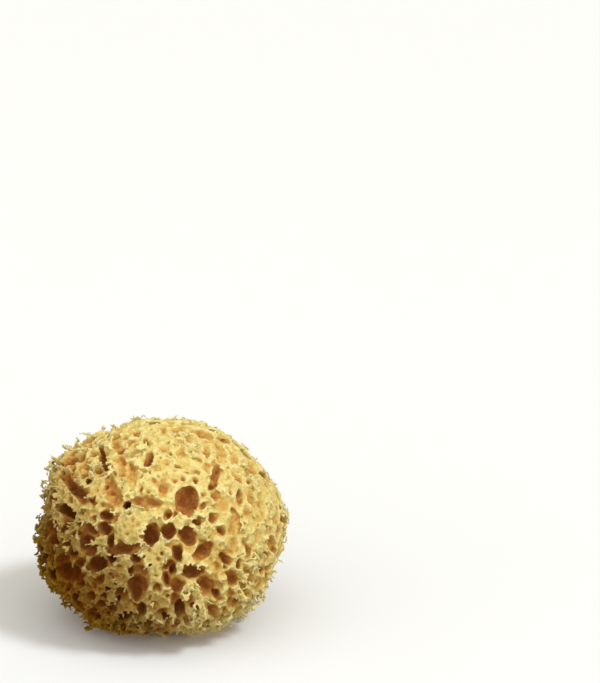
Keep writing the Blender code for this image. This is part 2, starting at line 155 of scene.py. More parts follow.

# %% [markdown]
# On the real sponge each of these pits is the mouth of a channel that let water out. Their sizes
# differ greatly, from wells a finger could enter to pinholes, and some are long because two grew
# together. That mix is what makes this sponge itself and no other, so these are listed one by one
# and not by chance.

# %% The pits of the face
# Right, up, width, length, turn of the long axis from the horizontal, depth.
FACE_PITS = (
    # Upper left
    (-27.7, 35.5, 3.3, 10.0, -75, 9.0),
    (-19.2, 38.2, 3.2, 2.6, 90, 5.0),
    (-7.1, 42.3, 2.0, 3.5, 90, 5.0),
    (-24.5, 45.0, 2.8, 2.5, 90, 3.0),
    (-34.5, 24.0, 3.2, 2.4, 90, 5.0),
    (-42.0, 21.5, 4.5, 17.0, -50, 7.0),
    (-23.3, 18.5, 6.0, 13.0, -70, 4.5),
    (-8.3, 13.2, 4.2, 18.5, 0, 4.5),
    (-17.0, 12.1, 3.5, 3.5, 90, 10.0),
    (-26.8, 7.3, 4.5, 5.0, 90, 7.0),
    (-44.5, 9.8, 4.5, 7.0, -30, 9.0),
    (-50.3, 15.2, 5.0, 8.0, 90, 5.0),
    (-13.8, 27.0, 3.2, 9.0, 90, 3.5),
    (-19.0, 33.5, 3.5, 6.0, 90, 3.0),
    (-35.8, 31.2, 3.0, 5.0, -40, 3.0),
    (-27.4, 1.6, 4.4, 4.4, 90, 8.0),
    (-34.0, 1.0, 4.5, 5.5, -50, 5.0),
    (-52.2, 3.0, 5.0, 8.0, 90, 5.0),
    (-44.0, 4.5, 3.0, 6.0, 90, 4.0),
    (-34.0, 40.0, 3.5, 4.5, 90, 2.5),
    (-22.0, 41.5, 3.0, 4.0, 90, 2.5),
    # Upper right
    (11.6, 14.3, 9.5, 11.5, 95, 16.0),
    (6.5, 8.0, 1.5, 4.0, 70, 5.0),
    (2.8, 7.8, 3.5, 4.0, 90, 5.0),
    (16.0, 4.2, 3.6, 3.0, 90, 6.0),
    (19.6, 11.6, 3.5, 3.0, 90, 3.5),
    (24.2, 6.3, 3.5, 4.5, 40, 5.0),
    (28.0, 12.8, 5.0, 7.0, 40, 3.0),
    (25.3, 26.5, 3.0, 11.0, 80, 6.0),
    (24.4, 22.0, 3.2, 4.0, 90, 8.0),
    (24.8, 17.0, 4.0, 4.0, 90, 4.0),
    (14.6, 28.3, 2.0, 5.5, -15, 4.0),
    (9.1, 32.0, 2.5, 2.2, 90, 3.0),
    (9.3, 36.5, 3.0, 5.0, 90, 2.5),
    (2.2, 32.0, 3.0, 2.5, 90, 3.0),
    (1.0, 20.3, 4.0, 4.5, 90, 4.0),
    (20.5, 38.3, 4.0, 5.0, 90, 2.5),
    (27.5, 36.7, 3.0, 4.5, -35, 3.0),
    (34.0, 34.0, 3.5, 4.0, 90, 2.5),
    (13.7, 43.4, 4.0, 4.0, 90, 2.5),
    (0.7, 47.0, 2.5, 7.0, 90, 3.0),
    (40.3, 27.4, 3.5, 4.0, 90, 2.5),
    (46.5, 19.5, 4.0, 5.0, 90, 2.5),
    (46.9, 11.9, 3.0, 10.0, 90, 2.5),
    (53.1, 6.5, 4.0, 6.0, 90, 2.5),
    (33.4, 9.8, 2.0, 4.0, -60, 3.0),
    (32.2, 4.0, 3.2, 7.0, 50, 2.5),
    # Lower left
    (-24.5, -3.5, 3.0, 5.0, 90, 7.0),
    (-17.2, -7.5, 4.8, 16.5, 0, 5.5),
    (-5.1, -1.6, 7.5, 10.3, 75, 12.0),
    (-23.4, -11.8, 3.6, 3.6, 90, 9.0),
    (-12.7, -12.3, 4.0, 3.6, 90, 8.0),
    (-29.8, -14.7, 5.9, 6.6, 0, 9.0),
    (-42.3, -9.3, 3.6, 3.0, 90, 6.0),
    (-32.7, -7.8, 5.8, 7.0, 0, 6.0),
    (-36.2, -5.2, 4.0, 6.0, 90, 6.0),
    (-50.8, -3.2, 4.5, 6.0, 90, 6.0),
    (-44.0, -19.5, 7.0, 11.5, -10, 9.0),
    (-38.6, -14.5, 4.0, 5.0, 90, 5.0),
    (-46.6, -13.6, 5.0, 6.0, 90, 5.0),
    (-14.8, -18.2, 3.0, 4.2, 90, 5.0),
    (-9.8, -18.0, 5.5, 8.0, -20, 5.0),
    (-11.5, -26.0, 8.0, 10.0, 90, 8.0),
    (-17.0, -39.6, 4.0, 8.0, 35, 9.0),
    (-31.5, -37.0, 3.5, 4.0, 90, 4.0),
    (-29.0, -40.0, 3.0, 3.0, 90, 4.0),
    (-1.7, -25.7, 4.0, 4.5, 90, 4.0),
    (-9.0, -36.2, 4.0, 5.0, 90, 6.0),
    (-6.8, -43.3, 3.0, 4.0, 90, 4.0),
    (-19.0, -27.8, 4.0, 4.0, 90, 5.0),
    (-29.4, -22.0, 3.5, 6.0, 45, 4.0),
    (-22.0, -43.6, 2.0, 5.0, 90, 3.0),
    (-37.9, -24.4, 3.5, 4.0, 90, 4.0),
    # Lower right
    (3.2, 0.4, 6.0, 7.2, 60, 11.0),
    (12.0, -2.3, 7.0, 8.0, 110, 11.0),
    (7.0, -10.6, 4.2, 6.0, 110, 8.0),
    (19.6, -9.4, 6.2, 10.5, 55, 9.0),
    (3.0, -15.4, 3.8, 5.0, 25, 7.0),
    (3.0, -22.3, 3.5, 7.0, 100, 6.0),
    (15.0, -19.0, 5.0, 9.0, -5, 9.0),
    (21.0, -26.0, 7.0, 8.0, -45, 8.0),
    (25.9, -29.2, 3.2, 3.2, 90, 7.0),
    (29.8, -13.1, 4.0, 5.0, -60, 7.0),
    (36.0, -15.2, 2.2, 3.8, 90, 5.0),
    (27.8, -0.1, 3.6, 4.0, 90, 6.0),
    (33.4, -6.4, 4.5, 6.5, 90, 3.0),
    (40.3, -9.5, 2.5, 5.0, 90, 3.5),
    (45.0, -2.2, 4.5, 5.0, 90, 3.0),
    (32.6, -22.3, 5.0, 6.0, 90, 4.5),
    (47.3, -18.1, 3.5, 4.0, 90, 4.0),
    (7.5, -26.0, 5.0, 7.0, 90, 6.0),
    (9.1, -37.0, 4.5, 6.0, 90, 9.0),
    (13.0, -32.0, 4.5, 5.0, 90, 6.0),
    (6.6, -31.5, 4.0, 5.0, 90, 5.0),
    (24.2, -37.0, 5.0, 5.0, 90, 5.0),
    (21.7, -32.8, 3.5, 4.0, 90, 4.0),
    (34.7, -34.0, 3.5, 4.0, 90, 4.0),
    (30.0, -42.0, 3.0, 3.5, 90, 3.0),
    (51.5, -4.5, 3.0, 5.0, 90, 3.0),
    (27.1, -6.8, 3.0, 3.5, 90, 3.0),
    (25.9, -17.0, 3.0, 4.0, 90, 3.0),
)
# The same, for pits too small to be cut in the solid.
SMALL_FACE_PITS = (
    (-11.9, 26.7, 1.6, 2.8, 90, 2.5),
    (-9.0, 29.0, 1.2, 3.2, 0, 2.5),
    (-10.0, 19.2, 1.1, 1.1, 90, 2.5),
    (-33.7, 14.8, 1.4, 3.2, -35, 4.0),
    (-3.5, 23.3, 1.8, 1.8, 90, 2.0),
    (13.1, 7.0, 1.6, 1.6, 90, 4.0),
    (4.2, 19.3, 1.3, 1.9, 90, 2.0),
    (42.9, 33.1, 2.2, 2.4, 90, 1.6),
    (33.0, 27.0, 2.0, 2.4, 90, 1.6),
    (36.3, 16.5, 2.2, 3.2, 30, 2.0),
    (37.5, 7.1, 1.9, 1.9, 90, 1.8),
    (28.4, 45.0, 2.8, 3.6, 90, 1.4),
    (23.5, 42.0, 2.6, 3.4, 90, 1.4),
    (4.0, 34.2, 1.4, 1.4, 90, 1.4),
    (-21.3, -24.0, 1.8, 1.8, 90, 3.0),
    (-23.8, -33.9, 2.0, 2.2, 90, 4.0),
    (-21.0, -31.0, 1.8, 2.6, 60, 5.0),
    (-45.0, -6.5, 3.0, 3.6, 90, 4.0),
    (19.4, -3.5, 1.6, 2.5, 15, 5.0),
    (5.3, -17.8, 2.5, 4.0, 90, 9.0),
    (36.6, -2.0, 2.6, 2.8, 90, 2.5),
    (38.5, -28.4, 1.7, 3.0, 70, 3.0),
    (40.0, -18.5, 2.1, 2.6, 0, 2.5),
    (42.6, -22.7, 2.2, 3.0, 0, 3.0),
    (16.7, -34.9, 2.5, 4.0, 15, 5.0),
    (29.2, -37.0, 1.6, 4.0, 80, 3.5),
    (15.8, -41.6, 1.5, 5.0, 90, 4.0),
    (0.5, -38.6, 2.1, 2.6, 90, 3.5),
    (49.3, -10.6, 2.2, 3.0, 0, 2.5),
    (38.5, -6.8, 2.4, 3.0, 90, 2.5),
)
print(len(FACE_PITS), "pits marked on the face, and", len(SMALL_FACE_PITS), "small ones")

# %% [markdown]
# A pit starts as an ellipse drawn on the skin and goes in along one line. Seen from its mouth it
# could be a cylinder cut out with a Boolean, as in the solid, but hundreds of those are slow and
# leave torn edges. Here a pit is only a way to measure: how far across, how far along and how deep
# a point lies.

# %% One pit
SIGHT_SHARE = 0.3  # how much a pit of the face follows the line of sight, the rest being square in
LEAST_FACING = 0.6  # a mouth near the edge of the face is widened no more than this allows
COMMON_DEPTH = 6.5  # wells are told apart by their shade down to about this depth
DEEPER_SHARE = 0.5  # how much of the depth past the common one is kept
# The side that grew in quiet water: where it lies, how much softer its relief is, the cosine from
# its middle at which that sets in, and the further cosine over which it grows.
SOFT_SIDE = (0.55, -0.15, 0.80)
SOFTER = 0.6
SOFT_FROM = 0.25
SOFT_SPAN = 0.6


def smooth_step(t):
    """0 below 0, 1 above 1, and an even curve between."""
    t = np.clip(t, 0, 1)
    return t * t * (3 - 2 * t)


def softness(directions):
    """1 in the middle of the soft side, 0 away from it."""
    return smooth_step((directions @ unit(SOFT_SIDE) - SOFT_FROM) / SOFT_SPAN)


class Pit:
    """A hollow: the middle of its mouth, its half axes across and along, the way in, and its depth.

    Offsets from the mouth split into a part along the way in, measured by `deeper`, and a part in
    the plane of the mouth, measured by `sideways` and `endways` in half widths and half lengths.
    """

    def __init__(self, mouth, across, along, inward, normal, depth):
        self.mouth = mouth
        self.depth = depth
        self.half_width = np.linalg.norm(across)
        self.half_length = np.linalg.norm(along)
        self.across = across / self.half_width
        self.along = along / self.half_length
        inward = unit(inward)
        self.deeper = normal / (inward @ normal)
        side = np.cross(along, normal)
        end = np.cross(normal, across)
        self.sideways = self.slide(side / (across @ side), inward)
        self.endways = self.slide(end / (along @ end), inward)

    def made_shallower(self, soft):
        """Keeps only a share of the depth past a common one, and less of it on the soft side."""
        self.depth = min(self.depth, COMMON_DEPTH + (self.depth - COMMON_DEPTH) * DEEPER_SHARE)
        self.depth *= 1 - SOFTER * soft / 2

    def mean_width(self):
        """The width of the circle of the same area."""
        return 2 * math.sqrt(self.half_width * self.half_length)

    def slide(self, axis, inward):
        """The axis as a measure that doesn't change along the way in."""
        return axis - (inward @ axis) * self.deeper

    def guards(self):
        """Circles along the mouth that stand for it when neighbours are kept apart."""
        half = self.along * max(0.0, self.half_length - self.half_width)
        return [self.mouth + half * share for share in (-1.0, 0.0, 1.0)]


def onto_skin(vector, normal, sight):
    """A vector of the picture plane, carried along the line of sight onto the skin."""
    return vector + sight * (vector @ normal) / max(LEAST_FACING, -(sight @ normal))


def face_pits(marks):
    """The pits of a table of marks on the face, with their mouths on the skin."""
    right, up, _ = sight_axes()
    pits = []
    for right_by, up_by, width, length, turn, depth in marks:
        mouth, sight = seen_point(right_by, up_by)
        normal = normal_at(mouth)
        angle = math.radians(turn)
        along = right * math.cos(angle) + up * math.sin(angle)
        across = up * math.cos(angle) - right * math.sin(angle)
        along = onto_skin(along, normal, sight) * length / 2
        across = onto_skin(across, normal, sight) * width / 2
        inward = sight * SIGHT_SHARE - normal * (1 - SIGHT_SHARE)
        pits.append(Pit(mouth, across, along, inward, normal, depth))
    return pits


marked = face_pits(FACE_PITS)
print("The deepest pit of the face goes in", max(pit.depth for pit in marked), "mm")

# %% [markdown]
# The sides, the back, the top and the cut base have pits too. They are strewn by chance from a
# fixed seed, the same as in the solid, each kept a wall's width from its neighbours. Shallow
# dimples then fill the land that is left. Chance alone would give clumps and bald spots, and a
# regular pattern would look like a golf ball. Keeping a least distance gives the spread of a thing
# that grew.

# %% The pits strewn all round
SEED = 7
STREWN = {
    # Kind: tries, width, length over width, depth, least wall to the neighbours.
    "pit": (2500, (3.8, 7.0), (1.0, 2.0), (5.0, 11.0), 2.6),
    "dimple": (9000, (3.2, 5.2), (1.0, 1.7), (1.4, 3.2), 1.3),
}
CALM_FACE = 1.3  # added to the least wall over the face, whose pits are marked by hand
# The same for the small pits, with what is added for them over the face.
SMALL_PITS = (14000, (1.9, 3.4), (1.0, 1.9), (1.4, 4.5), 1.0, 0.25)
LEAN = 0.12  # how far a strewn pit may lean away from the heart
PLAIN_BASE = 13.0  # no pit comes nearer than this to the middle of the cut base
SMALLEST_PIT = 2.3  # the mean width under which a pit is left out of the solid
# Broad felt tops that stay whole: right, up, radius.
PLATEAUS = (
    (-16.0, 2.5, 8.5),
    (-3.0, 8.0, 4.0),
    (-32.3, 20.6, 5.0),
    (-8.0, 20.5, 6.0),
    (-2.8, -9.5, 4.5),
    (9.5, 24.8, 4.5),
    (10.0, 6.4, 2.5),
    (13.3, -11.2, 3.0),
)


def strewn_pits(chance, pits, tries, widths, stretches, depths, wall, calm_face=CALM_FACE):
    """Pits all round the rest, each kept a wall's width from those before it."""
    _, _, ahead = sight_axes()
    tops = [seen_point(right_by, up_by)[0] for right_by, up_by, _ in PLATEAUS]
    guards = np.array([guard for pit in pits for guard in pit.guards()] + tops)
    radii = np.repeat([pit.half_width for pit in pits], 3)
    radii = np.append(radii, [radius for _, _, radius in PLATEAUS])
    draws = []
    for _ in range(tries):
        direction = unit(chance.normal(size=3))
        width, stretch, depth = (chance.uniform(*span) for span in (widths, stretches, depths))
        draws.append((direction, width, stretch, depth, chance.normal(size=3)))
    directions, width, stretch, depth, headings = (np.array(column) for column in zip(*draws))
    mouths = HEART + directions * reach(directions)[:, None]
    normals = normal_at(mouths[:, None])
    below = mouths[:, 2] < 0
    mouths[below] = HEART + directions[below] * (HEART[2] / -directions[below, 2])[:, None]
    normals[below] = (0, 0, -1)
    plain = below & (np.linalg.norm(mouths[:, :2], axis=1) < PLAIN_BASE)
    alongs = unit(np.cross(normals, headings)) * (width * stretch / 2)[:, None]
    acrosses = np.cross(normals, unit(alongs)) * (width / 2)[:, None]
    inwards = unit(HEART - mouths) - headings * LEAN
    needs = width / 2 + wall + calm_face * (-normals @ ahead).clip(0)
    added = []
    for n in np.flatnonzero(~plain):
        pit = Pit(mouths[n], acrosses[n], alongs[n], inwards[n], normals[n], depth[n])
        apart = [np.linalg.norm(guards - guard, axis=1) - radii for guard in pit.guards()]
        if np.min(apart) < needs[n]:
            continue
        added.append(pit)
        guards = np.vstack([guards, pit.guards()])
        radii = np.append(radii, [width[n] / 2] * 3)
    return added


chance = np.random.default_rng(SEED)
pits = [pit for pit in marked if pit.mean_width() > SMALLEST_PIT]
for kind, settings in STREWN.items():
    added = strewn_pits(chance, pits, *settings)
    pits += added
    print(len(added), kind + "s strewn")
pits += [pit for pit in marked if pit.mean_width() <= SMALLEST_PIT] + face_pits(SMALL_FACE_PITS)
added = strewn_pits(np.random.default_rng(SEED + 9), pits, *SMALL_PITS)
for pit in added:
    pit.depth *= 1 - SOFTER * softness(unit(pit.mouth - HEART))
pits += added
for pit in pits:
    pit.made_shallower(float(softness(unit(pit.mouth - HEART))))
print(len(added), "small pits strewn")

# %% [markdown]
# The land has two levels. Round every well the tissue wore the fibre down in shallow dishes, side
# by side and run together, so the wells open in low, smooth, amber ground. What stands between is
# pale felt, with hollow edges and a pointed cusp wherever two dishes meet. Each pit gets a ring of
# dishes just outside its rim, at uneven steps, and some are a good deal larger than their
# neighbours.

# %% Dishes round the mouths
DISH_STEP = (2.6, 4.2)
STEP_UNEVEN = 0.35  # how much a step may differ from the mean one
DISH_RADIUS = 0.56  # share of the step
DISH_MOST = 0.7  # how much larger the largest are
DISH_LIMIT = (0.8, 0.9)  # the most a radius may be: this share of the pit's half width, plus this
DISH_DEPTH = (1.1, 2.4)
DISH_SHARE = 0.45  # how many of the places on a rim have one
DISH_OUT = 0.3  # share of its radius that its centre lies outside the rim
LEAST_DISH = 0.6  # smaller dishes are left out
DISH_FOOT = 0.5  # and those that start lower than this
RINGED_PIT = 2.6  # mean width of the smallest pit with dishes round it
RIM_STEPS = 128
PLATEAU_CORE = 0.66  # share of a plateau's radius that no dish reaches
# Small star-shaped patches of felt between the wells: right, up, radius. No dish reaches them.
STARS = (
    (8.3, -16.9, 2.6),
    (-2.1, -16.9, 3.2),
    (12.9, -26.7, 2.4),
    (3.7, -27.7, 2.2),
    (-5.5, -29.6, 2.8),
    (-13.0, -31.9, 2.4),
    (23.8, -16.4, 2.4),
    (-19.4, -15.8, 2.8),
    (-32.0, 5.5, 2.4),
    (-42.4, 0.9, 2.8),
    (-18.2, -22.1, 2.2),
    (-24.0, -24.4, 2.4),
    (17.5, -31.8, 2.0),
    (22.0, -1.4, 2.8),
    (30.0, -19.0, 2.4),
    (21.0, 4.0, 2.2),
    (-34.0, -11.0, 2.0),
    (-40.0, -5.0, 2.0),
    (3.0, -34.5, 2.2),
    (-25.0, -30.0, 2.2),
)


def dish_ring(chance, pit):
    """Centres, radii and depths of the dishes round one pit.

    The rim, middle + across * cos(angle) + along * sin(angle), is walked in short steps to measure
    it, shared out in uneven strides, and each stride's middle gets a dish. Few are much larger: the
    gain is the cube of a chance number.
    """
    angles = np.linspace(0, 2 * math.pi, RIM_STEPS + 1)
    pace = np.hypot(pit.half_width * np.sin(angles), pit.half_length * np.cos(angles))
    walked = np.append(0, np.cumsum(pace[1:])) * 2 * math.pi / RIM_STEPS
    count = max(3, round(walked[-1] / chance.uniform(*DISH_STEP)))
    steps = chance.uniform(1 - STEP_UNEVEN, 1 + STEP_UNEVEN, count)
    steps *= walked[-1] / steps.sum()
    angles = np.interp(np.cumsum(steps) - steps / 2, walked, angles)
    angles += chance.uniform(0, 2 * math.pi)
    arms = np.outer(np.cos(angles), pit.across * pit.half_width)
    arms += np.outer(np.sin(angles), pit.along * pit.half_length)
    larger = 1 + DISH_MOST * chance.random(count) ** 3
    most = DISH_LIMIT[0] * pit.half_width + DISH_LIMIT[1]
    radii = np.minimum(DISH_RADIUS * steps * larger, most)
    depths = chance.uniform(*DISH_DEPTH, count)
    kept = chance.random(count) < DISH_SHARE
    centres = pit.mouth + arms + unit(arms) * (radii * DISH_OUT)[:, None]
    return np.column_stack([centres, radii, depths])[kept]


rim_chance = np.random.default_rng(SEED + 5)
dishes = np.vstack([dish_ring(rim_chance, pit) for pit in pits if pit.mean_width() > RINGED_PIT])
whole = [(right_by, up_by, radius * PLATEAU_CORE) for right_by, up_by, radius in PLATEAUS]
for right_by, up_by, radius in (*whole, *STARS):
    away = np.linalg.norm(dishes[:, :3] - seen_point(right_by, up_by)[0], axis=1)
    dishes[:, 3] = np.minimum(dishes[:, 3], (away - radius).clip(0))
dishes = dishes[(dishes[:, 3] > LEAST_DISH) & (dishes[:, 2] > DISH_FOOT)]
print("Dishes:", len(dishes))

# %% [markdown]
# A sheet that is pushed in and out can't show walls that lean over, nor two pits that meet below
# the surface. So the sponge is described as a solid in space: at each point of a fine grid, a
# number says how many millimetres of sponge lie between that point and the nearest air, below zero
# in the air. Pits are then easy to cut, since the smaller of two such numbers is the solid with
# both cuts made.

# %% A grid of points in space
CELL = 0.4  # the width of one cell
LOW = np.array([-64.0, -60.0, -1.5])
HIGH = np.array([64.0, 60.0, 101.0])
xs, ys, zs = (np.arange(low, high, CELL, dtype=np.float32) for low, high in zip(LOW, HIGH))
SHAPE = (len(xs), len(ys), len(zs))
print("Grid:", SHAPE, round(len(xs) * len(ys) * len(zs) / 1e6, 1), "million points")


def spread(lattice, wave, even=False):
    """Numbers on a coarse lattice, blended to the grid.

    Each axis blends the two lattice values beside a point, by the share t of the way between them,
    or by the softer t*t*(3 - 2t) where an even blend isn't asked for.
    """
    for axis, values in enumerate((xs, ys, zs)):
        place = (values - LOW[axis]) / wave
        low = place.astype(int)
        t = (place - low).astype(np.float32)
        t = t if even else smooth_step(t)
        t = t.reshape([-1 if a == axis else 1 for a in range(3)])
        lattice = np.take(lattice, low, axis) * (1 - t) + np.take(lattice, low + 1, axis) * t
    return lattice


def noise(chance, wave):
    """Smooth noise over the grid, between -1 and 1, whose bumps are about a wave wide."""
    size = [int((high - low) / wave) + 3 for low, high in zip(LOW, HIGH)]
    return spread(chance.uniform(-1, 1, size).astype(np.float32), wave)


# The corners of one cell, in cells from its lowest.
CORNERS = np.array([(i, j, k) for i in (0, 1) for j in (0, 1) for k in (0, 1)])
BELOW_LAST = 1.001  # points past the last cell are read this far before the grid's end


def sample(values, points, cell=CELL):
    """The grid's values at points, blended between the eight grid points round each."""
    place = ((points - LOW) / cell).clip(0, np.array(values.shape) - BELOW_LAST)
    low = place.astype(int)
    share = place - low
    found = 0
    for corner in CORNERS:
        weight = np.prod(np.where(corner, share, 1 - share), axis=1)
        found = found + values[tuple((low + corner).T)] * weight
    return found


# %% [markdown]
# A drawn ellipse looks drawn. Before the pits are cut, space itself is pushed about a little by
# smooth noise, so that every mouth and wall wavers as living tissue does.

# %% Waver
WAVERS = ((7.0, 1.1), (2.8, 0.6), (1.5, 0.26))  # wave and push
shape_chance = np.random.default_rng(SEED + 1)
waver = [sum(noise(shape_chance, wave) * push for wave, push in WAVERS) for _ in range(3)]
print("Space is pushed sideways by up to", round(float(np.abs(waver[0]).max()), 1), "mm")

# %% [markdown]
# Each hollow touches only the grid points near it, so it is worked out on a small block of the
# grid. One look at all 25 million points for each of thousands of hollows would take hours.

# %% Measures on a block of the grid
def block(point, margin):
    """The slices of the grid within a margin of a point."""
    slices = []
    for middle, values in zip(point, (xs, ys, zs)):
        low, high = np.searchsorted(values, (middle - margin, middle + margin))
        slices.append(slice(int(low), int(high)))
    return tuple(slices)


def measure(where, point, gauge):
    """Offset from the point times the gauge, over a block, with the waver added."""
    x, y, z = (values[s] - p for values, s, p in zip((xs, ys, zs), where, point))
    gauge = gauge.astype(np.float32)
    found = (x * gauge[0])[:, None, None] + (y * gauge[1])[:, None] + z * gauge[2]
    for push, share in zip(waver, gauge):
        found += push[where] * share
    return found.astype(np.float32)


def offsets(where, point, waver_share=1.0):
    """How far block points lie from a point along x, y and z, with a share of the waver added."""
    x, y, z = (values[s] - p for values, s, p in zip((xs, ys, zs), where, point))
    push_x, push_y, push_z = (push[where] * waver_share for push in waver)
    return x[:, None, None] + push_x, y[:, None] + push_y, z + push_z


def to_axis(where, centre, axis, waver_share=1.0):
    """How far block points lie from an axis through the centre, and how far out along it."""
    x, y, z = offsets(where, centre, waver_share)
    up = x * axis[0] + y * axis[1] + z * axis[2]
    return np.sqrt((x * x + y * y + z * z - up * up).clip(1e-6)), up


def to_pit(where, pit):
    """How many times further out than the rim block points lie, and how far from the pit's axis."""
    side = measure(where, pit.mouth, pit.sideways)
    end = measure(where, pit.mouth, pit.endways)
    away = np.hypot(side * pit.half_width, end * pit.half_length)
    return np.sqrt(side**2 + end**2).clip(1e-3), away


def note(ranks, where, gap):
    """Puts distances in their place among the smallest so far, which are kept smallest first."""
    for further, nearer in zip(ranks[:0:-1], ranks[-2::-1]):
        further[where] = np.minimum(further[where], np.maximum(nearer[where], gap))
    ranks[0][where] = np.minimum(ranks[0][where], gap)


# %% [markdown]
# The land between the hollows is not flat. Its edges are slightly raised, and each cusp, where two
# hollows meet, turns up in a spike. Both follow from the distances to the rims of the nearest and
# the second nearest hollow, kept for every grid point near the skin.

# %% Distances to the two nearest rims
NEAR = 5.0  # rims further away than this have no say


def nearest_two(near):
    """For each grid point, the distances to the two nearest rims, 0 inside one."""
    ranks = [np.full(SHAPE, near, np.float32) for _ in range(2)]
    for pit in pits:
        where = block(pit.mouth, pit.half_length + near)
        out, axis = to_pit(where, pit)
        note(ranks, where, axis * (1 - 1 / out))
    for (*centre, radius, _), axis in zip(dishes, dish_axes):
        where = block(centre, radius + near)
        note(ranks, where, to_axis(where, centre, axis)[0] - radius)
    return [rank.clip(0) for rank in ranks]


dish_axes = unit(dishes[:, :3] - HEART)
dishes[:, :3] = HEART + dish_axes * reach(dish_axes)[:, None]
first, second = nearest_two(NEAR)
print("Rims lie within", NEAR, "mm of", round(float((first < NEAR).mean()) * 100), "% of the grid")

# %% [markdown]
# Last come the bites: small hollows in the very edge of the land, side by side like the marks of
# teeth, which leave a short sharp point between every two of them.

# %% Bites in the edges of the land
BITE_TRIES = 60000
BITE_RADIUS = (0.55, 1.6)
BITE_DEPTH = (0.9, 2.3)
BITE_EDGE = (0.1, 0.8)  # shares of its radius that its centre lies from the edge
BITE_APART = -0.15  # the wall between two bites, below zero where they may overlap
BITE_NEAR = 2.6
BITE_FOOT = 2.0  # none lies lower than this
WHOLE_LAND = 3.2  # land this many radii wide is bitten to the full depth, and narrower land less
LEAST_BITE = 0.12
NARROW_POWER = 1.5  # how much less


def kept_apart(points, radii, wall):
    """Which of the points, taken in turn, lie a wall or more from the circles kept before them."""
    kept = []
    taken = {}
    bins = np.floor(points / (2 * radii.max() + wall)).astype(int)
    for number, (x, y, z) in enumerate(bins):
        beside = [
            other
            for i in (x - 1, x, x + 1)
            for j in (y - 1, y, y + 1)
            for k in (z - 1, z, z + 1)
            for other in taken.get((i, j, k), ())
        ]
        away = np.linalg.norm(points[beside] - points[number], axis=1)
        if np.all(away > radii[beside] + radii[number] + wall):
            taken.setdefault((x, y, z), []).append(number)
            kept.append(number)
    return kept


def bites(chance):
    """Centres, radii and depths of the bites, strewn over the skin, kept where an edge is near."""
    directions = unit(chance.normal(size=(BITE_TRIES, 3)))
    points = HEART + directions * reach(directions)[:, None]
    radii, depths = (chance.uniform(*span, BITE_TRIES) for span in (BITE_RADIUS, BITE_DEPTH))
    share = sample(first, points) / radii
    wanted = (share > BITE_EDGE[0]) & (share < BITE_EDGE[1]) & (points[:, 2] > BITE_FOOT)
    width_share = sample(second, points) / (WHOLE_LAND * radii)
    depths *= width_share.clip(LEAST_BITE, 1) ** NARROW_POWER
    rows = np.column_stack([points, radii, depths])[wanted]
    rows = rows[kept_apart(rows[:, :3], rows[:, 3], BITE_APART)]
    rows[:, :3] += np.stack([sample(push, rows[:, :3]) for push in waver], axis=1)
    return rows


bitten = bites(np.random.default_rng(SEED + 11))
bite_axes = unit(bitten[:, :3] - HEART)
for (*centre, radius, _), axis in zip(bitten, bite_axes):
    where = block(centre, radius + BITE_NEAR)
    note((first, second), where, (to_axis(where, centre, axis)[0] - radius).clip(0))
dishes = np.vstack([dishes, bitten])
dish_axes = np.vstack([dish_axes, bite_axes])
print("Bites:", len(bitten))

# %% [markdown]
# The spikes of a dried sponge are what is left of the walls: the living skin hung between them like
# a tent between its poles, and shrank away. So the land rises where two rims come close, here and
# there by chance, and sags in other places, as a tent's ridge does.

# %% The mass with its land
TIP_RISE = 2.7  # the height of the highest spikes
TIP_FADE = 1.0  # the distance from the rims over which a spike falls away
TIP_WAVE = 2.3  # how far apart the spikes stand
TIP_SHARE = 0.5  # how much of the ridges carries them
WILD_SIDE = (-0.50, -0.50, -0.70)  # the side where the spikes grew longest
WILD_TIPS = 0.2  # how much longer
WILD_FROM = -0.35  # the cosine from that side's middle at which this sets in
WILD_SPAN = 0.9
CREST_SAG = 4.0  # the same four for the places where a ridge sags
CREST_FADE = 1.6
CREST_WAVE = 5.0
CREST_SHARE = 0.1
EDGE_RISE = 0.35  # the raised lip round every hollow
EDGE_FADE = 0.6
LOBES = ((13.0, 1.3), (5.0, 0.6))  # wave and rise
INSET = 0.8  # the smooth skin stands for the tips, and the land between them lies lower
SOFT_RISE = 0.8  # how much of the inset is left out on the soft side
BASE_CALM = 1.5  # no spikes and no texture this near the cut base


def skin_depth(step=2.0):
    """How far each grid point lies under the smooth skin, how soft that side is, and how wild.

    All change slowly, so they are worked out on a coarse lattice and blended.
    """
    axes = [low + step * np.arange(int((high - low) / step) + 3) for low, high in zip(LOW, HIGH)]
    spokes = np.stack(np.meshgrid(*axes, indexing="ij"), axis=-1) - HEART
    away = np.linalg.norm(spokes, axis=-1).clip(1e-3)
    directions = spokes / away[..., None]
    directions[away <= 1e-3] = (0, 0, 1)
    wild = smooth_step((directions @ unit(WILD_SIDE) - WILD_FROM) / WILD_SPAN)
    slow = (reach(directions) - away, softness(directions), wild)
    return [spread(values.astype(np.float32), step, even=True) for values in slow]


depth, soft, wild = skin_depth()
calm = np.clip(zs / BASE_CALM - 1, 0, 1)
firm = 1 - SOFTER * soft
peaks = (TIP_SHARE + noise(shape_chance, TIP_WAVE)).clip(0)
horn = TIP_RISE * (1 + WILD_TIPS * wild) * peaks * np.exp(-(first + second) / TIP_FADE)
horn += EDGE_RISE * np.exp(-first / EDGE_FADE)
sags = (CREST_SHARE + noise(shape_chance, CREST_WAVE)).clip(0)
horn -= CREST_SAG * sags * np.exp(-(((first + second) / CREST_FADE) ** 2))
lobes = sum(noise(shape_chance, wave) * rise for wave, rise in LOBES)
inset = INSET * (1 - SOFT_RISE * soft)
spikes = horn * firm
land_skin = depth - inset + (spikes + lobes) * calm
print("The spikes rise by up to", round(float(spikes.max()), 1), "mm")

# %% [markdown]
# Fine texture comes the same way at a smaller size: thousands of tiny dimples strewn over the land,
# with small points between them. On the walls of the pits there is none, since they are smooth.

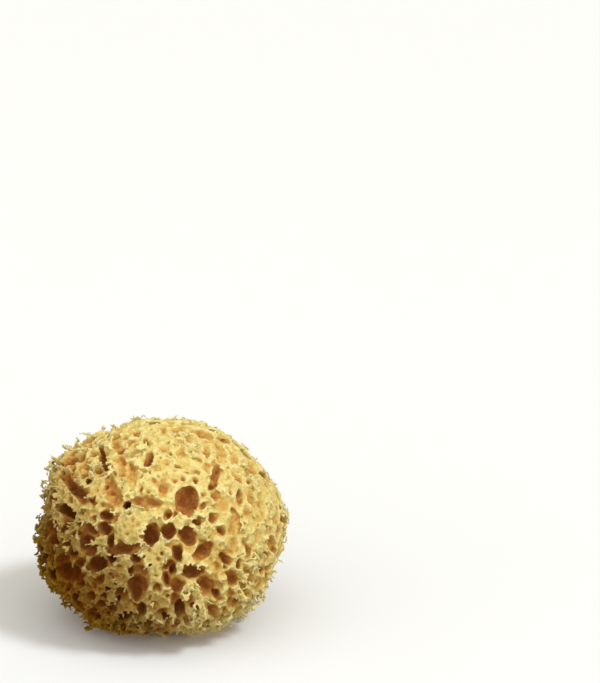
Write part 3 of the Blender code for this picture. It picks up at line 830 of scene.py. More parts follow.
# %% Fine dimples on the land
FINE_TIERS = (
    # Tries, width, depth, wall, rise of the points between, whether only in patches.
    (9000, (2.2, 4.0), (1.0, 2.4), 0.35, 1.6, True),
    (26000, (1.1, 2.1), (0.5, 1.1), 0.30, 0.9, False),
)
FINE_FADE = 0.45  # the difference of distances over which a point between dimples falls away
FINE_NEAR = 2.6
FINE_WAVER = 0.6  # share of the waver that bends a fine dimple


def fine_pits(chance, tries, widths, depths, wall):
    """Small round dimples all over the skin, none nearer to another than a wall."""
    directions = unit(chance.normal(size=(tries, 3)))
    sizes = [chance.uniform(*span, tries) for span in (widths, depths)]
    rows = np.column_stack([directions, *sizes])
    mouths = HEART + directions * reach(directions)[:, None]
    above = mouths[:, 2] > BASE_CALM
    rows, mouths = rows[above], mouths[above]
    kept = kept_apart(mouths, rows[:, 3] / 2, wall)
    return mouths[kept], rows[kept, :3], rows[kept, 3], rows[kept, 4]


def fine_relief(chance, tries, widths, depths, wall, rise):
    """How far the dimples and the points between them lift the skin at each grid point.

    A dimple sinks it by depth * (1 - (distance from its axis / half width) squared). A point stands
    where the nearest and the third nearest rim are alike: rise * exp(-(third - nearest) / fade -
    nearest).
    """
    ranks = [np.full(SHAPE, FINE_NEAR, np.float32) for _ in range(3)]
    sunk = np.zeros(SHAPE, np.float32)
    dimples = fine_pits(chance, tries, widths, depths, wall)
    for mouth, direction, width, deep in zip(*dimples):
        where = block(mouth, width / 2 + FINE_NEAR)
        away = to_axis(where, mouth, direction, FINE_WAVER)[0]
        note(ranks, where, away - width / 2)
        hollow = deep * (1 - (2 * away / width) ** 2).clip(0)
        sunk[where] = np.maximum(sunk[where], hollow)
    print(len(dimples[0]), "fine dimples")
    nearest, third = ranks[0].clip(0), ranks[2].clip(0)
    return rise * np.exp(-(third - nearest) / FINE_FADE - nearest) - sunk


# %% [markdown]
# Two kinds of place are calmer: the broad felt tops, which keep only part of the relief, and the
# ground between chance patches, which lacks the larger of the dimples. Nothing grew evenly all
# over.

# %% The fine relief where it belongs
LAND_EDGE = 0.6  # the distance from a rim over which the relief sets in
PLATEAU_CALM = 0.35  # how much of it a broad top lacks
PLATEAU_EDGE = 1.3  # shares of a broad top's radius: where that starts, and over which it grows
PLATEAU_FADE = 0.4
PATCH_WAVE = 15.0
PATCH_CONTRAST = 1.2
PATCH_LEVEL = 0.75
PATCH_SOFT = 1.5  # how much is added on the soft side
FELT = ((3.4, 0.8), (1.3, 0.45))  # wave and rise

fine_chance = np.random.default_rng(SEED + 2)
land = np.clip(first / LAND_EDGE, 0, 1) * calm
for right_by, up_by, radius in PLATEAUS:
    centre = seen_point(right_by, up_by)[0]
    where = block(centre, radius * PLATEAU_EDGE)
    x, y, z = offsets(where, centre, 0.0)
    away = np.sqrt(x**2 + y**2 + z**2)
    within = smooth_step((radius * PLATEAU_EDGE - away) / (radius * PLATEAU_FADE))
    land[where] *= 1 - PLATEAU_CALM * within
for *tier, patchy in FINE_TIERS:
    if patchy:
        patches = noise(fine_chance, PATCH_WAVE) * PATCH_CONTRAST + PATCH_LEVEL + PATCH_SOFT * soft
    relief = fine_relief(fine_chance, *tier)
    land_skin += relief * land * (smooth_step(patches) if patchy else 1.0)
land_skin += sum(noise(fine_chance, wave) * rise for wave, rise in FELT) * land
print("The relief covers", round(float((land > 0.5).mean()) * 100), "% of the grid")

# %% [markdown]
# Now the hollows are cut. A pit is a tube with a rounded end, a little wider below its mouth than
# at it, so its rim overhangs. A dish has a flat floor and steep sides. Dishes join each other by a
# wide smooth minimum, which makes one flowing low ground of them, and the land by a narrow one,
# which leaves its edge crisp.

# %% Cut the hollows
BELLY = 0.16  # how much wider a pit is below its mouth
BEND_START = 0.3  # the share of its depth at which its end starts to close
OVERHANG = 0.35  # how much a dish narrows for each millimetre above the skin
HOLLOW_ROUND = 0.9  # how far the edges are rounded between two hollows
WELL_ROUND = 0.9  # between the dishes and the pits
RIM_ROUND = 0.25  # and between the hollows and the land
CUT_MARGIN = 2.0  # how far a cut is worked out past its own size
PIT_MARGIN = 1.3  # the same for a pit's bulge, as a share of its half length
CLEAR = 4.0


def smooth_min(a, b, radius):
    """The smaller of two distances, rounded over a radius where they are alike."""
    h = np.clip(radius - np.abs(a - b), 0, None) / radius
    return np.minimum(a, b) - h * h * radius / 4


def cut_pit(air, pit):
    """Cuts one pit.

    Its walls stand where the point is 1 half width out, times 1 plus the belly's bulge. Below the
    straight part, going deeper counts as going out, which closes the end like half an egg.
    """
    margin = pit.half_length * PIT_MARGIN + CUT_MARGIN
    where = block(pit.mouth + unit(pit.deeper) * pit.depth / 2, pit.depth / 2 + margin)
    out, axis = to_pit(where, pit)
    share = measure(where, pit.mouth, pit.deeper) / pit.depth
    bulge = 1 + BELLY * np.sin(math.pi * share.clip(0, 1)) - BELLY * (-share).clip(0, 1)
    closing = ((share - BEND_START) / (1 - BEND_START)).clip(0)
    wall = (np.sqrt((out / bulge) ** 2 + closing**2) - 1) * axis / out
    air[where] = smooth_min(air[where], wall, HOLLOW_ROUND)


def cut_dish(air, centre, radius, deep, axis):
    """Cuts one dish: its wall stands where (out / radius)^4 plus (down / depth)^2 is 1.

    Above the skin it narrows, so the spikes beside it lean over it.
    """
    where = block(centre, max(radius, deep) + CUT_MARGIN)
    out, up = to_axis(where, centre, axis)
    mouth = (radius - OVERHANG * up.clip(0, None)).clip(radius / 3, None)
    shape = np.sqrt((out / mouth) ** 4 + (up.clip(None, 0) / deep) ** 2)
    air[where] = smooth_min(air[where], (shape - 1) * mouth / 2, HOLLOW_ROUND)


air = np.full(SHAPE, CLEAR, np.float32)
dish_softness = softness(dish_axes)
for (*centre, radius, deep), axis, softer in zip(dishes, dish_axes, dish_softness):
    lower = min(deep, INSET * (1 - SOFT_RISE * softer))
    cut_dish(air, centre, radius, deep * (1 - SOFTER * softer) + lower, axis)
wells = np.full(SHAPE, CLEAR, np.float32)
for pit in pits:
    cut_pit(wells, pit)
air = smooth_min(air, wells, WELL_ROUND)
solid = np.minimum(smooth_min(land_skin, air, RIM_ROUND), zs)
print("Hollows cut:", len(pits), "pits and", len(dishes), "dishes")

# %% [markdown]
# The skin of the sponge lies where that number is zero. It is found cell by cell: each small cube
# of the grid that the skin passes through gets one vertex, at the mean of the places where its
# edges cross zero, and each grid edge that crosses zero joins the four cells round it with a face.
#
# One mesh of the whole skin would be too heavy, so it is found in three slabs, from front to back.
# Neighbours overlap by two millimetres, and each sinks a little towards its own cut, so that its
# end lies hidden inside the other.

# %% Slabs of the solid
SLABS = {"front": (LOW[1], -16.0), "middle": (-16.0, 19.0), "back": (19.0, HIGH[1])}
OVERLAP = 2.0
SINK = 0.2  # how far a slab's skin lies under its neighbour's at its own cut


def slab_of(solid, front, back):
    """The solid between two planes, half the overlap further out at each, and its lowest corner."""
    front, back = front - OVERLAP / 2, back + OVERLAP / 2
    start, end = np.searchsorted(ys, (front - 2 * CELL, back + 2 * CELL))
    inset = np.minimum(ys[start:end] - front, back - ys[start:end])[None, :, None]
    sunk = solid[:, start:end] - SINK * (1 - inset / OVERLAP).clip(0, 1)
    return np.minimum(sunk, inset).astype(np.float32), LOW + (0, start * CELL, 0)


for name, cuts in SLABS.items():
    print("The", name, "slab runs from", *cuts, "mm")

# %% [markdown]
# Blender's Remesh modifier finds a skin in the same way, but only of a mesh that is there already.
# A few lines of numpy do it for any rule that gives a number for each point, with no loop over the
# cells.

# %% Points and faces of a skin
CELL_EDGES = [(a, b) for a in range(8) for b in range(a + 1, 8) if (a ^ b) in (1, 2, 4)]


def cell_points(solid, inside, low):
    """One vertex for each cell that the skin passes through, and the number of each such cell."""
    size = tuple(n - 1 for n in solid.shape)
    full = np.ones(size, bool)
    some = np.zeros(size, bool)
    for i, j, k in CORNERS:
        corner = inside[i : i + size[0], j : j + size[1], k : k + size[2]]
        full &= corner
        some |= corner
    cells = np.argwhere(some & ~full)
    numbers = np.full(size, -1, np.int32)
    numbers[tuple(cells.T)] = np.arange(len(cells))
    values = np.stack([solid[tuple((cells + corner).T)] for corner in CORNERS], axis=1)
    total = np.zeros((len(cells), 3))
    count = np.zeros((len(cells), 1))
    for a, b in CELL_EDGES:
        crosses = (values[:, a] > 0) != (values[:, b] > 0)
        drop = np.where(crosses, values[:, a] - values[:, b], 1)
        share = np.where(crosses, values[:, a] / drop, 0)
        point = CORNERS[a] + (CORNERS[b] - CORNERS[a]) * share[:, None]
        total += point * crosses[:, None]
        count += crosses[:, None]
    return low + (cells + total / count) * CELL, numbers


def cell_faces(inside, numbers):
    """A face of four cells round every grid edge that crosses the skin, turned to face the air."""
    faces = []
    for axis in range(3):
        steps = inside.shape[axis]
        lower = np.take(inside, range(steps - 1), axis)
        upper = np.take(inside, range(1, steps), axis)
        edges = np.argwhere(lower != upper)
        one, two = np.eye(3, dtype=int)[[(axis + 1) % 3, (axis + 2) % 3]]
        ring = (edges, edges - one, edges - one - two, edges - two)
        quads = np.stack([numbers[tuple(cells.T)] for cells in ring], axis=1)
        leaving = lower[tuple(edges.T)]
        quads[~leaving] = quads[~leaving][:, ::-1]
        faces.append(quads)
    return np.vstack(faces)


print("A cell has", len(CORNERS), "corners and", len(CELL_EDGES), "edges")

# %% [markdown]
# Where spikes were cut off from the rest, crumbs float in the air. The skin is kept only where it
# hangs together with the whole.

# %% Skins without crumbs
def without_crumbs(points, faces, cuts):
    """The largest connected body and all that reach a cut.

    Each point starts with its own number, takes the lowest one along its edges, and so on until
    nothing changes. Points with the same number then hang together.
    """
    label = np.arange(len(points))
    ends = np.concatenate([faces[:, (0, 1)], faces[:, (1, 2)], faces[:, (2, 3)]])
    while True:
        lowest = np.minimum(label[ends[:, 0]], label[ends[:, 1]])
        before = label.copy()
        np.minimum.at(label, before[ends[:, 0]], lowest)
        np.minimum.at(label, before[ends[:, 1]], lowest)
        label = label[label[label]]
        if np.array_equal(label, before):
            break
    wanted = np.zeros(len(points), bool)
    wanted[np.bincount(label).argmax()] = True
    for cut_at in cuts:
        wanted[label[np.abs(points[:, 1] - cut_at) < CELL / 2]] = True
    kept = wanted[label]
    renumber = np.cumsum(kept) - 1
    return points[kept], renumber[faces[kept[faces[:, 0]]]]


def skin_of(front, back):
    """Points and faces of one slab's skin."""
    slab, low = slab_of(solid, front, back)
    inside = slab > 0
    points, numbers = cell_points(slab, inside, low)
    cuts = (front - OVERLAP / 2, back + OVERLAP / 2)
    return without_crumbs(points, cell_faces(inside, numbers), cuts)


skins = {name: skin_of(*slab) for name, slab in SLABS.items()}
inside = solid > 0
for name, (points, faces) in skins.items():
    print("Skin of the", name + ":", len(points), "points", len(faces), "faces")

# %% [markdown]
# Colour and fibre both follow the shape, so two more numbers are kept for each place: how far it
# lies under the smooth skin, and how much of the space round it is sponge. A spike has air on
# nearly every side, a wall has half, and the bottom of a pit is nearly shut in. Light fades in the
# same order. The colour worked out from these numbers is partly the fibre's own turn from straw to
# rust brown and partly painted shade, darker the more shut in a place is.

# %% How hollow and how sheltered each place is
SHELTER_REACH = 3.5  # how far round a place counts for its shelter
TIP_REACH = 1.25  # and for whether it is a tip
# Painted shade on the lower left side, away from the lamps: the direction of its middle.
SHADED_SIDE = (-0.78, -0.20, -0.60)
SIDE_SHADE_FROM = -0.05  # the cosine from that side's middle at which the painted shade sets in
SIDE_SHADE_SPAN = 0.95


def blurred(values, span, cell=CELL):
    """The mean over a box of the grid, from running sums along each axis, twice to soften it."""
    steps = max(1, round(span / cell))
    for _ in range(2):
        for axis in range(3):
            padding = [(steps + 1, steps) if a == axis else (0, 0) for a in range(3)]
            sums = np.cumsum(np.pad(values, padding, mode="edge"), axis=axis, dtype=np.float32)
            high = np.take(sums, range(2 * steps + 1, sums.shape[axis]), axis)
            low = np.take(sums, range(sums.shape[axis] - 2 * steps - 1), axis)
            values = (high - low) / (2 * steps + 1)
    return values


shelter = blurred(inside[::2, ::2, ::2].astype(np.float32), SHELTER_REACH / 2, CELL * 2)
mass_near = blurred(inside.astype(np.float32), TIP_REACH / 2)


def away_from_mass(points, step=0.6):
    """The direction in which the sponge thins out fastest."""
    moves = np.eye(3) * step
    slope = [sample(mass_near, points + move) - sample(mass_near, points - move) for move in moves]
    slope = -np.stack(slope, axis=1)
    return slope / np.linalg.norm(slope, axis=1, keepdims=True).clip(1e-6)


def side_shade(points):
    """1 on the lower left side, which is painted darker as shade, and 0 away from it."""
    return smooth_step((unit(points - HEART) @ unit(SHADED_SIDE) - SIDE_SHADE_FROM) / SIDE_SHADE_SPAN)


print("Shelter runs from", round(float(shelter.min()), 2), "to", round(float(shelter.max()), 2))

# %% [markdown]
# The found skin has far more faces than its shape needs, so flat stretches are thinned. The spikes
# and rims keep their points, since thinning always takes the faces that change the shape least.

# %% Arrays made meshes
def mesh_from(name, points, faces):
    """A mesh object of whole arrays, in metres, with faces of one size."""
    mesh = bpy.data.meshes.new(name)
    sides = faces.shape[1]
    mesh.vertices.add(len(points))
    mesh.vertices.foreach_set("co", (points * METRES).astype(np.float32).ravel())
    mesh.loops.add(faces.size)
    mesh.loops.foreach_set("vertex_index", faces.astype(np.int32).ravel())
    mesh.polygons.add(len(faces))
    mesh.polygons.foreach_set("loop_start", np.arange(0, faces.size, sides, dtype=np.int32))
    mesh.update(calc_edges=True)
    mesh.validate()
    thing = bpy.data.objects.new(name, mesh)
    bpy.context.scene.collection.objects.link(thing)
    return thing


def thinned(thing, triangles):
    """The object with about so many triangles left."""
    now = sum(len(face.vertices) - 2 for face in thing.data.polygons)
    if now > triangles:
        thin = thing.modifiers.new("thin", "DECIMATE")
        thin.ratio = triangles / now
        thin.use_collapse_triangulate = True
        found = thing.evaluated_get(bpy.context.evaluated_depsgraph_get())
        mesh = bpy.data.meshes.new_from_object(found)
        thing.modifiers.remove(thin)
        old, thing.data = thing.data, mesh
        bpy.data.meshes.remove(old)
    return thing


def keep_number(mesh, name, values):
    """One number for each vertex, for the material to read."""
    mesh.attributes.new(name, "FLOAT", "POINT").data.foreach_set("value", values.astype(np.float32))


def vertices_of(mesh):
    """The vertices and their normals, in millimetres and as directions."""
    places = np.empty(len(mesh.vertices) * 3, np.float32)
    normals = np.empty(len(mesh.vertices) * 3, np.float32)
    mesh.vertices.foreach_get("co", places)
    mesh.vertices.foreach_get("normal", normals)
    return places.reshape(-1, 3) / METRES, normals.reshape(-1, 3)


# %% [markdown]
# The colour is worked out here once for each vertex, as a tone from 0 for pale straw to 1 for rust.
# The tone holds painted shade as well: hollows and shut-in places are made darker and thin tips
# paler, as the light would make them. A material could find hollows by itself with Ambient
# Occlusion, but that costs render time and isn't baked well. A number kept in the mesh is read at
# no cost.

# %% The body, with its tone
BODY_TRIANGLES = 188000
# What each of these adds to the tone, which holds painted shade: shelter, mass and depth darken
# hollows and shut-in places and leave thin tips pale, as the light would, along with the fibre's
# own turn to rust. The side term is painted shade of the lower left, and the soft side at the
# upper right is made a little paler.
TONE_OF_SHELTER = 0.42
TONE_OF_MASS = 0.22
TONE_OF_DEPTH = 0.24
TONE_OF_LOW_GROUND = 0.12
TONE_OF_SIDE_SHADE = 0.07
TONE_OF_SOFTNESS = -0.05
DEPTH_REACH = 7.0  # depth under the land at which its tone is all there
LOW_GROUND_FROM = 0.5  # low ground starts here under the land, and is in full this much further
LOW_GROUND_SPAN = 1.3


def body_piece(name, points, faces):
    """One slab's mesh, smooth shaded, with tone, painted side shade and what is known of each
    vertex.
    """
    thing = thinned(mesh_from("sponge_" + name, points, faces), BODY_TRIANGLES)
    thing.data.validate()
    thing.data.polygons.foreach_set("use_smooth", np.ones(len(thing.data.polygons), bool))
    places, normals = vertices_of(thing.data)
    hollow = sample(depth, places)
    mass = sample(mass_near, places)
    softer = softness(unit(places - HEART))
    below = hollow - INSET * (1 - SOFT_RISE * softer)
    low_ground = smooth_step((below - LOW_GROUND_FROM) / LOW_GROUND_SPAN)
    sunk = TONE_OF_DEPTH * (below / DEPTH_REACH).clip(0, 1) + TONE_OF_LOW_GROUND * low_ground
    tone_and_shade = TONE_OF_SHELTER * sample(shelter, places, CELL * 2) + TONE_OF_MASS * mass + sunk
    tone_and_shade += TONE_OF_SIDE_SHADE * side_shade(places) + TONE_OF_SOFTNESS * softer
    # The tone holds painted shade: darker in hollows and shut-in places, paler at thin tips.
    keep_number(thing.data, "tone_and_shade", tone_and_shade)
    # Painted shade of the lower left side, kept for the material.
    keep_number(thing.data, "side_shade", side_shade(places))
    print(thing.name + ":", len(thing.data.polygons), "triangles")
    return thing, np.column_stack([places, normals, hollow, mass, tone_and_shade])


made = [body_piece(name, *skin) for name, skin in skins.items()]
bodies = [thing for thing, _ in made]
rows = np.vstack([found for _, found in made])
places, normals = rows[:, :3], rows[:, 3:6]
body_hollow, mass_here, body_tone_and_shade = rows[:, 6:].T
print("Tone of the palest tenth, the middle and the darkest tenth:", end=" ")
print(np.percentile(body_tone_and_shade, (10, 50, 90)).round(2))

# %% [markdown]
# Along every rim the fibre stands out in thin bright thorns, where the living skin once hung
# between them. Each is a tapering, slightly bent horn of three sides. Hair curves or a particle
# system would make such hairs too, but not as closed solid shapes that go out with the rest of the
# mesh.

# %% A bent horn, many times
SIDES = 3
TAPER = 1.3  # above 1, a horn stays thick for longer before it comes to its point


def horns(roots, ways, bends, lengths, widths, rings):
    """Bent, tapering horns as one array of points and one of triangles.

    Ring t (0 to 1) of a horn lies at root + way * length * t + bend * length * t * t, with a radius
    of width / 2 * (1 - t to the power of the taper). The last ring is a single point, and the ring
    at the root sits inside the body.
    """
    first = unit(np.cross(ways, bends + 1e-3))
    other = np.cross(ways, first)
    count = len(roots)
    points = []
    for ring in range(rings):
        t = ring / rings
        middle = roots + (ways * t + bends * t * t) * lengths[:, None]
        radius = (widths / 2 * (1 - t**TAPER))[:, None]
        for side in range(SIDES):
            angle = 2 * math.pi * side / SIDES
            points.append(middle + (first * math.cos(angle) + other * math.sin(angle)) * radius)
    points.append(roots + (ways + bends) * lengths[:, None])
    points = np.stack(points, axis=1).reshape(-1, 3)
    per_horn = rings * SIDES + 1
    last = per_horn - 1
    faces = []
    for ring in range(rings):
        for side in range(SIDES):
            a, b = ring * SIDES + side, ring * SIDES + (side + 1) % SIDES
            if ring < rings - 1:
                faces += [(a, b, b + SIDES), (a, b + SIDES, a + SIDES)]
            else:
                faces.append((a, b, last))
    faces += [(0, side + 1, side) for side in range(1, SIDES - 1)]
    starts = np.arange(count)[:, None, None] * per_horn
    return points, (np.array(faces)[None] + starts).reshape(-1, 3)


root, way, bend = (np.array([row]) for row in ((0.0, 0.0, 0.0), (0.0, 0.0, 1.0), (0.1, 0.0, 0.0)))
example = horns(root, way, bend, np.ones(1), np.ones(1), 5)
print("A horn of 5 rings has", len(example[0]), "points and", len(example[1]), "faces")

# %% [markdown]
# They grow where the sponge is thinnest and point away from its mass, a little outwards. Low on the
# sponge they hang down, as they did while it dried.

# %% Horns that grow from the body
PALER = 0.10  # how much less tone a horn has at its tip
OUTWARDS = 0.4
HANG = 0.6
HANG_TOP = 5.0  # hanging sets in this far above the heart, and is in full this much lower
HANG_SPAN = 40.0
ROOTED = 0.35  # how deep a horn starts in the body
CLEAR_OF_FLOOR = 0.02


def low_side(points):
    """0 for places high on the sponge, 1 for low ones."""
    return np.clip((HEART[2] + HANG_TOP - points[:, 2]) / HANG_SPAN, 0, 1)


def horn_piece(name, roots, ways, bends, lengths, widths, rings, near):
    """Horns as one object, coloured as the body is at the vertices numbered in near."""
    points, faces = horns(roots, ways, bends, lengths, widths, rings)
    points[:, 2] = points[:, 2].clip(CLEAR_OF_FLOOR)
    thing = mesh_from(name, points, faces)
    along = np.append(np.repeat(np.arange(rings) / rings, SIDES), 1.0)
    paler = np.tile(along, len(roots)) * PALER
    # Each horn takes the body's tone, painted shade included, paler towards its tip.
    keep_number(thing.data, "tone_and_shade", np.repeat(body_tone_and_shade[near], len(along)) - paler)
    # The horns take the painted shade of the lower left side as well.
    keep_number(thing.data, "side_shade", side_shade(points))
    thing.data.polygons.foreach_set("use_smooth", np.ones(len(thing.data.polygons), bool))
    print(name + ":", len(roots), "horns", len(thing.data.polygons), "triangles")
    return thing


def grown(name, chance, picked, lengths, widths, lean, bent, rings):
    """Horns that grow from the body's own vertices, leaning and bent by chance."""
    roots, out = places[picked], normals[picked]
    ways = away_from_mass(roots) + out * OUTWARDS + chance.normal(size=roots.shape) * lean
    ways[:, 2] -= HANG * low_side(roots)
    ways = unit(ways)
    bends = chance.normal(size=roots.shape) * bent
    bends -= ways * (bends * ways).sum(axis=1)[:, None]
    return horn_piece(name, roots - ways * ROOTED, ways, bends, lengths, widths, rings, picked)


print("Places low on the sponge:", round(float((low_side(places) > 0.5).mean()) * 100), "%")

# %% [markdown]
# Long thorns stand far apart, and a finer fringe fills the rims between them. Each takes the
# thinnest place of every small cube of space, which spreads them evenly with no search for
# neighbours.

# %% Thorns and fringe at the rims
LONG_SPACING = 2.8
THORN_LENGTH = 0.75
THORN_WIDTH = 0.9
TIP_SPACING = 1.5
FRINGE_LENGTH = 0.45
FRINGE_WIDTH = 0.5
TIP_MASS = 0.30  # a place with less sponge round it than this share is a tip
TIP_DEEPEST = 5.0  # how far under the smooth skin a tip may lie
THORN_LEAN = 0.15
THORN_BENT = 0.15
LEAST_SIZE = 0.3  # what is added to a thorn's sharpness for its size
UNEVEN = (0.5, 1.2)
WIDTH_BY_SIZE = (0.6, 0.5)  # a thorn's width: this share, plus this for each unit of size


def tips(size, most_mass):
    """The vertex with the least sponge round it in each small cube of space, if it is a tip."""
    shallow = (places[:, 2] > BASE_CALM) & (body_hollow < TIP_DEEPEST)
    number = np.flatnonzero((mass_here < most_mass) & shallow)
    number = number[np.argsort(mass_here[number])]
    bins = np.floor(places[number] / size).astype(int)
    _, kept = np.unique(bins, axis=0, return_index=True)
    return number[kept]


def thorn_piece(name, chance, spacing, length, width, rings):
    """Thorns at the tips, longer where the sponge is thin or low, shorter on the soft side."""
    picked = tips(spacing, TIP_MASS)
    firmness = 1 - SOFTER * softness(unit(places[picked] - HEART))
    sharp = np.clip(1 - mass_here[picked] / TIP_MASS, 0, 1)
    size = firmness * (LEAST_SIZE + sharp) * chance.uniform(*UNEVEN, len(picked))
    lengths = length * size * (1 + low_side(places[picked]) * chance.random(len(picked)) ** 2)
    widths = width * (WIDTH_BY_SIZE[0] + WIDTH_BY_SIZE[1] * size)
    return grown(name, chance, picked, lengths, widths, THORN_LEAN, THORN_BENT, rings)


fibre_chance = np.random.default_rng(SEED + 3)
thorns = thorn_piece("sponge_thorns", fibre_chance, LONG_SPACING, THORN_LENGTH, THORN_WIDTH, 5)
fringe = thorn_piece("sponge_fringe", fibre_chance, TIP_SPACING, FRINGE_LENGTH, FRINGE_WIDTH, 2)

# %% [markdown]
# The land itself is a felt of finer fibre, too short to be seen one by one but enough to make it
# look soft and grainy. Each fibre is a thin dart of four faces.

# %% Felt on the land
FELT_FIBRES = 36000
FELT_LENGTH = (0.35, 0.95)
FELT_WIDTH = (0.12, 0.2)
FELT_MASS = 0.52  # a place with more sponge round it than this share has no felt
FELT_DEPTH = 3.0
FELT_SHALLOW = 1.6  # felt is in full down to 0.6 felt depths, and gone at this many
FELT_LEAN = 0.5
FELT_BENT = 0.3


def chosen(chance, weights, count):
    """Numbers of places picked by weight, none twice."""
    count = min(count, int((weights > 0).sum()))
    return chance.choice(len(weights), count, replace=False, p=weights / weights.sum())


shallow = np.clip(FELT_SHALLOW - body_hollow / FELT_DEPTH, 0, 1)
land_weight = np.clip(FELT_MASS - mass_here, 0, 1) * shallow * (places[:, 2] > BASE_CALM)
picked = chosen(fibre_chance, land_weight, FELT_FIBRES)
lengths = fibre_chance.uniform(*FELT_LENGTH, len(picked))
widths = fibre_chance.uniform(*FELT_WIDTH, len(picked))
felt = grown("sponge_felt", fibre_chance, picked, lengths, widths, FELT_LEAN, FELT_BENT, 1)

pieces = (*bodies, thorns, fringe, felt)
for piece in pieces:
    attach(piece, "root")
for body in bodies:
    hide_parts("sponge")

# %% [markdown]
# The fibre is spongin, a horny protein like that of hair, washed, bleached and dried in the air. It
# is matt, since light that enters the fine threads leaves them in every direction, and a little of
# it comes through. The living skin's rust brown stays longest in the wells, the walls turn amber,
# and the tips bleach to straw, so the colour is a ramp that the tone of each place reads from. Its
# darker end also stands for painted shade deep in the wells, and its palest for a painted
# highlight on the tips.

# %% Colours and nodes
def linear(hex_colour):
    """A colour written as #rrggbb, in the light that the renderer counts in."""
    parts = [int(hex_colour[i : i + 2], 16) / 255 for i in (1, 3, 5)]
    return [c / 12.92 if c <= 0.04045 else ((c + 0.055) / 1.055) ** 2.4 for c in parts] + [1.0]


def add(tree, kind, inputs=None, **settings):
    """A node with its settings. Each input gets a value, or a link from another node's output."""
    node = tree.nodes.new(kind)
    for name, value in settings.items():
        setattr(node, name, value)
    for name, source in (inputs or {}).items():
        if isinstance(source, bpy.types.NodeSocket):
            tree.links.new(source, node.inputs[name])
        else:
            node.inputs[name].default_value = source
    return node


print("Straw, as the renderer counts it:", [round(c, 2) for c in linear("#e9de9f")])

# %% [markdown]
# Real fibre isn't evenly coloured. Clouds about as wide as a pencil shift the tone a little, and
# flecks, where the felt stands in tufts, shift it more the paler the place is. The threads
# themselves are about 0.03 mm thick, too fine to show, so their grain is drawn some 20 times as
# coarse.

# %% The fibre
# Waves in a metre: clouds of 5 mm, flecks of 1.3 mm and grain of 0.7 mm.
CLOUD_SCALE = 200.0
FLECK_SCALE = 760.0
GRAIN_SCALE = 1400.0
CLOUD_SHIFT = 0.30  # how far the clouds shift the tone
GRAIN_HEIGHT = 0.5
# From straw to rust brown; the darker stops also hold painted shade of the wells.
STRAW_TO_RUST_AND_SHADE = (
    (0.10, "#e9de9f"),
    (0.24, "#dac982"),
    (0.36, "#cfb76b"),
    (0.46, "#cba659"),
    (0.58, "#b57f40"),
    (0.72, "#945a2b"),
    (0.88, "#7b481e"),
)
# The darker brown that paints shade on the lower left side.
SIDE_SHADE_COLOUR = "#a08038"
SCATTERED = (0.0016, 0.0011, 0.0005)  # metres that red, green and blue light goes through the fibre


def fibre_material():
    """Dried spongin: no shine to speak of, and a little light scattered inside it.

    Its place on the ramp is tone + cloud * shift + fleck * (1 - tone), with the noises between -0.5
    and 0.5; the tone holds painted shade of the hollows. On the lower left side the colour is
    multiplied by a darker brown, which is painted shade.
    """
    material = bpy.data.materials.new("dried sponge fibre")
    material.use_nodes = True
    tree = material.node_tree
    tree.nodes.clear()
    place = add(tree, "ShaderNodeTexCoord").outputs["Object"]
    # The tone, which holds painted shade of the hollows and paler tips.
    tone_and_shade = add(tree, "ShaderNodeAttribute", attribute_name="tone_and_shade").outputs["Fac"]
    # Painted shade of the lower left side.
    side_shaded = add(tree, "ShaderNodeAttribute", attribute_name="side_shade").outputs["Fac"]

    clouds = {"Vector": place, "Scale": CLOUD_SCALE, "Detail": 4.0}
    cloud = add(tree, "ShaderNodeTexNoise", clouds).outputs["Fac"]
    cloud = add(tree, "ShaderNodeMath", {0: cloud, 1: 0.5}, operation="SUBTRACT").outputs[0]
    clouded = {0: cloud, 1: CLOUD_SHIFT, 2: tone_and_shade}
    clouded = add(tree, "ShaderNodeMath", clouded, operation="MULTIPLY_ADD").outputs[0]

    flecks = {"Vector": place, "Scale": FLECK_SCALE, "Detail": 5.0, "Roughness": 0.65}
    fleck = add(tree, "ShaderNodeTexNoise", flecks).outputs["Fac"]
    fleck = add(tree, "ShaderNodeMath", {0: fleck, 1: 0.5}, operation="SUBTRACT").outputs[0]
    felted = add(tree, "ShaderNodeMath", {0: 1.0, 1: tone_and_shade}, operation="SUBTRACT").outputs[0]
    flecked = {0: fleck, 1: felted, 2: clouded}
    flecked = add(tree, "ShaderNodeMath", flecked, operation="MULTIPLY_ADD").outputs[0]

    ramp = add(tree, "ShaderNodeValToRGB", {"Fac": flecked})
    elements = ramp.color_ramp.elements
    elements.remove(elements[-1])
    for number, (position, colour) in enumerate(STRAW_TO_RUST_AND_SHADE):
        element = elements.new(position) if number else elements[0]
        element.position = position
        element.color = linear(colour)
    # Painted shade: the lower left side is multiplied by a darker brown.
    colours = {0: side_shaded, 6: ramp.outputs["Color"], 7: linear(SIDE_SHADE_COLOUR)}
    colour = add(tree, "ShaderNodeMix", colours, data_type="RGBA", blend_type="MULTIPLY").outputs[2]

    grains = {"Vector": place, "Scale": GRAIN_SCALE, "Detail": 3.0}
    grain = add(tree, "ShaderNodeTexNoise", grains).outputs["Fac"]
    relief = {"Height": grain, "Strength": 0.8, "Distance": GRAIN_HEIGHT * METRES}
    bump = add(tree, "ShaderNodeBump", relief).outputs["Normal"]
    fibre = {
        "Base Color": colour,
        "Normal": bump,
        # Protein has an IOR near the default, but fine fibre throws almost none back as a shine.
        "Roughness": 0.85,
        "Specular IOR Level": 0.06,
        "Subsurface Weight": 0.14,
        "Subsurface Radius": SCATTERED,
        "Subsurface Scale": 1.0,
    }
    surface = add(tree, "ShaderNodeBsdfPrincipled", fibre).outputs["BSDF"]
    add(tree, "ShaderNodeOutputMaterial", {"Surface": surface})
    return material


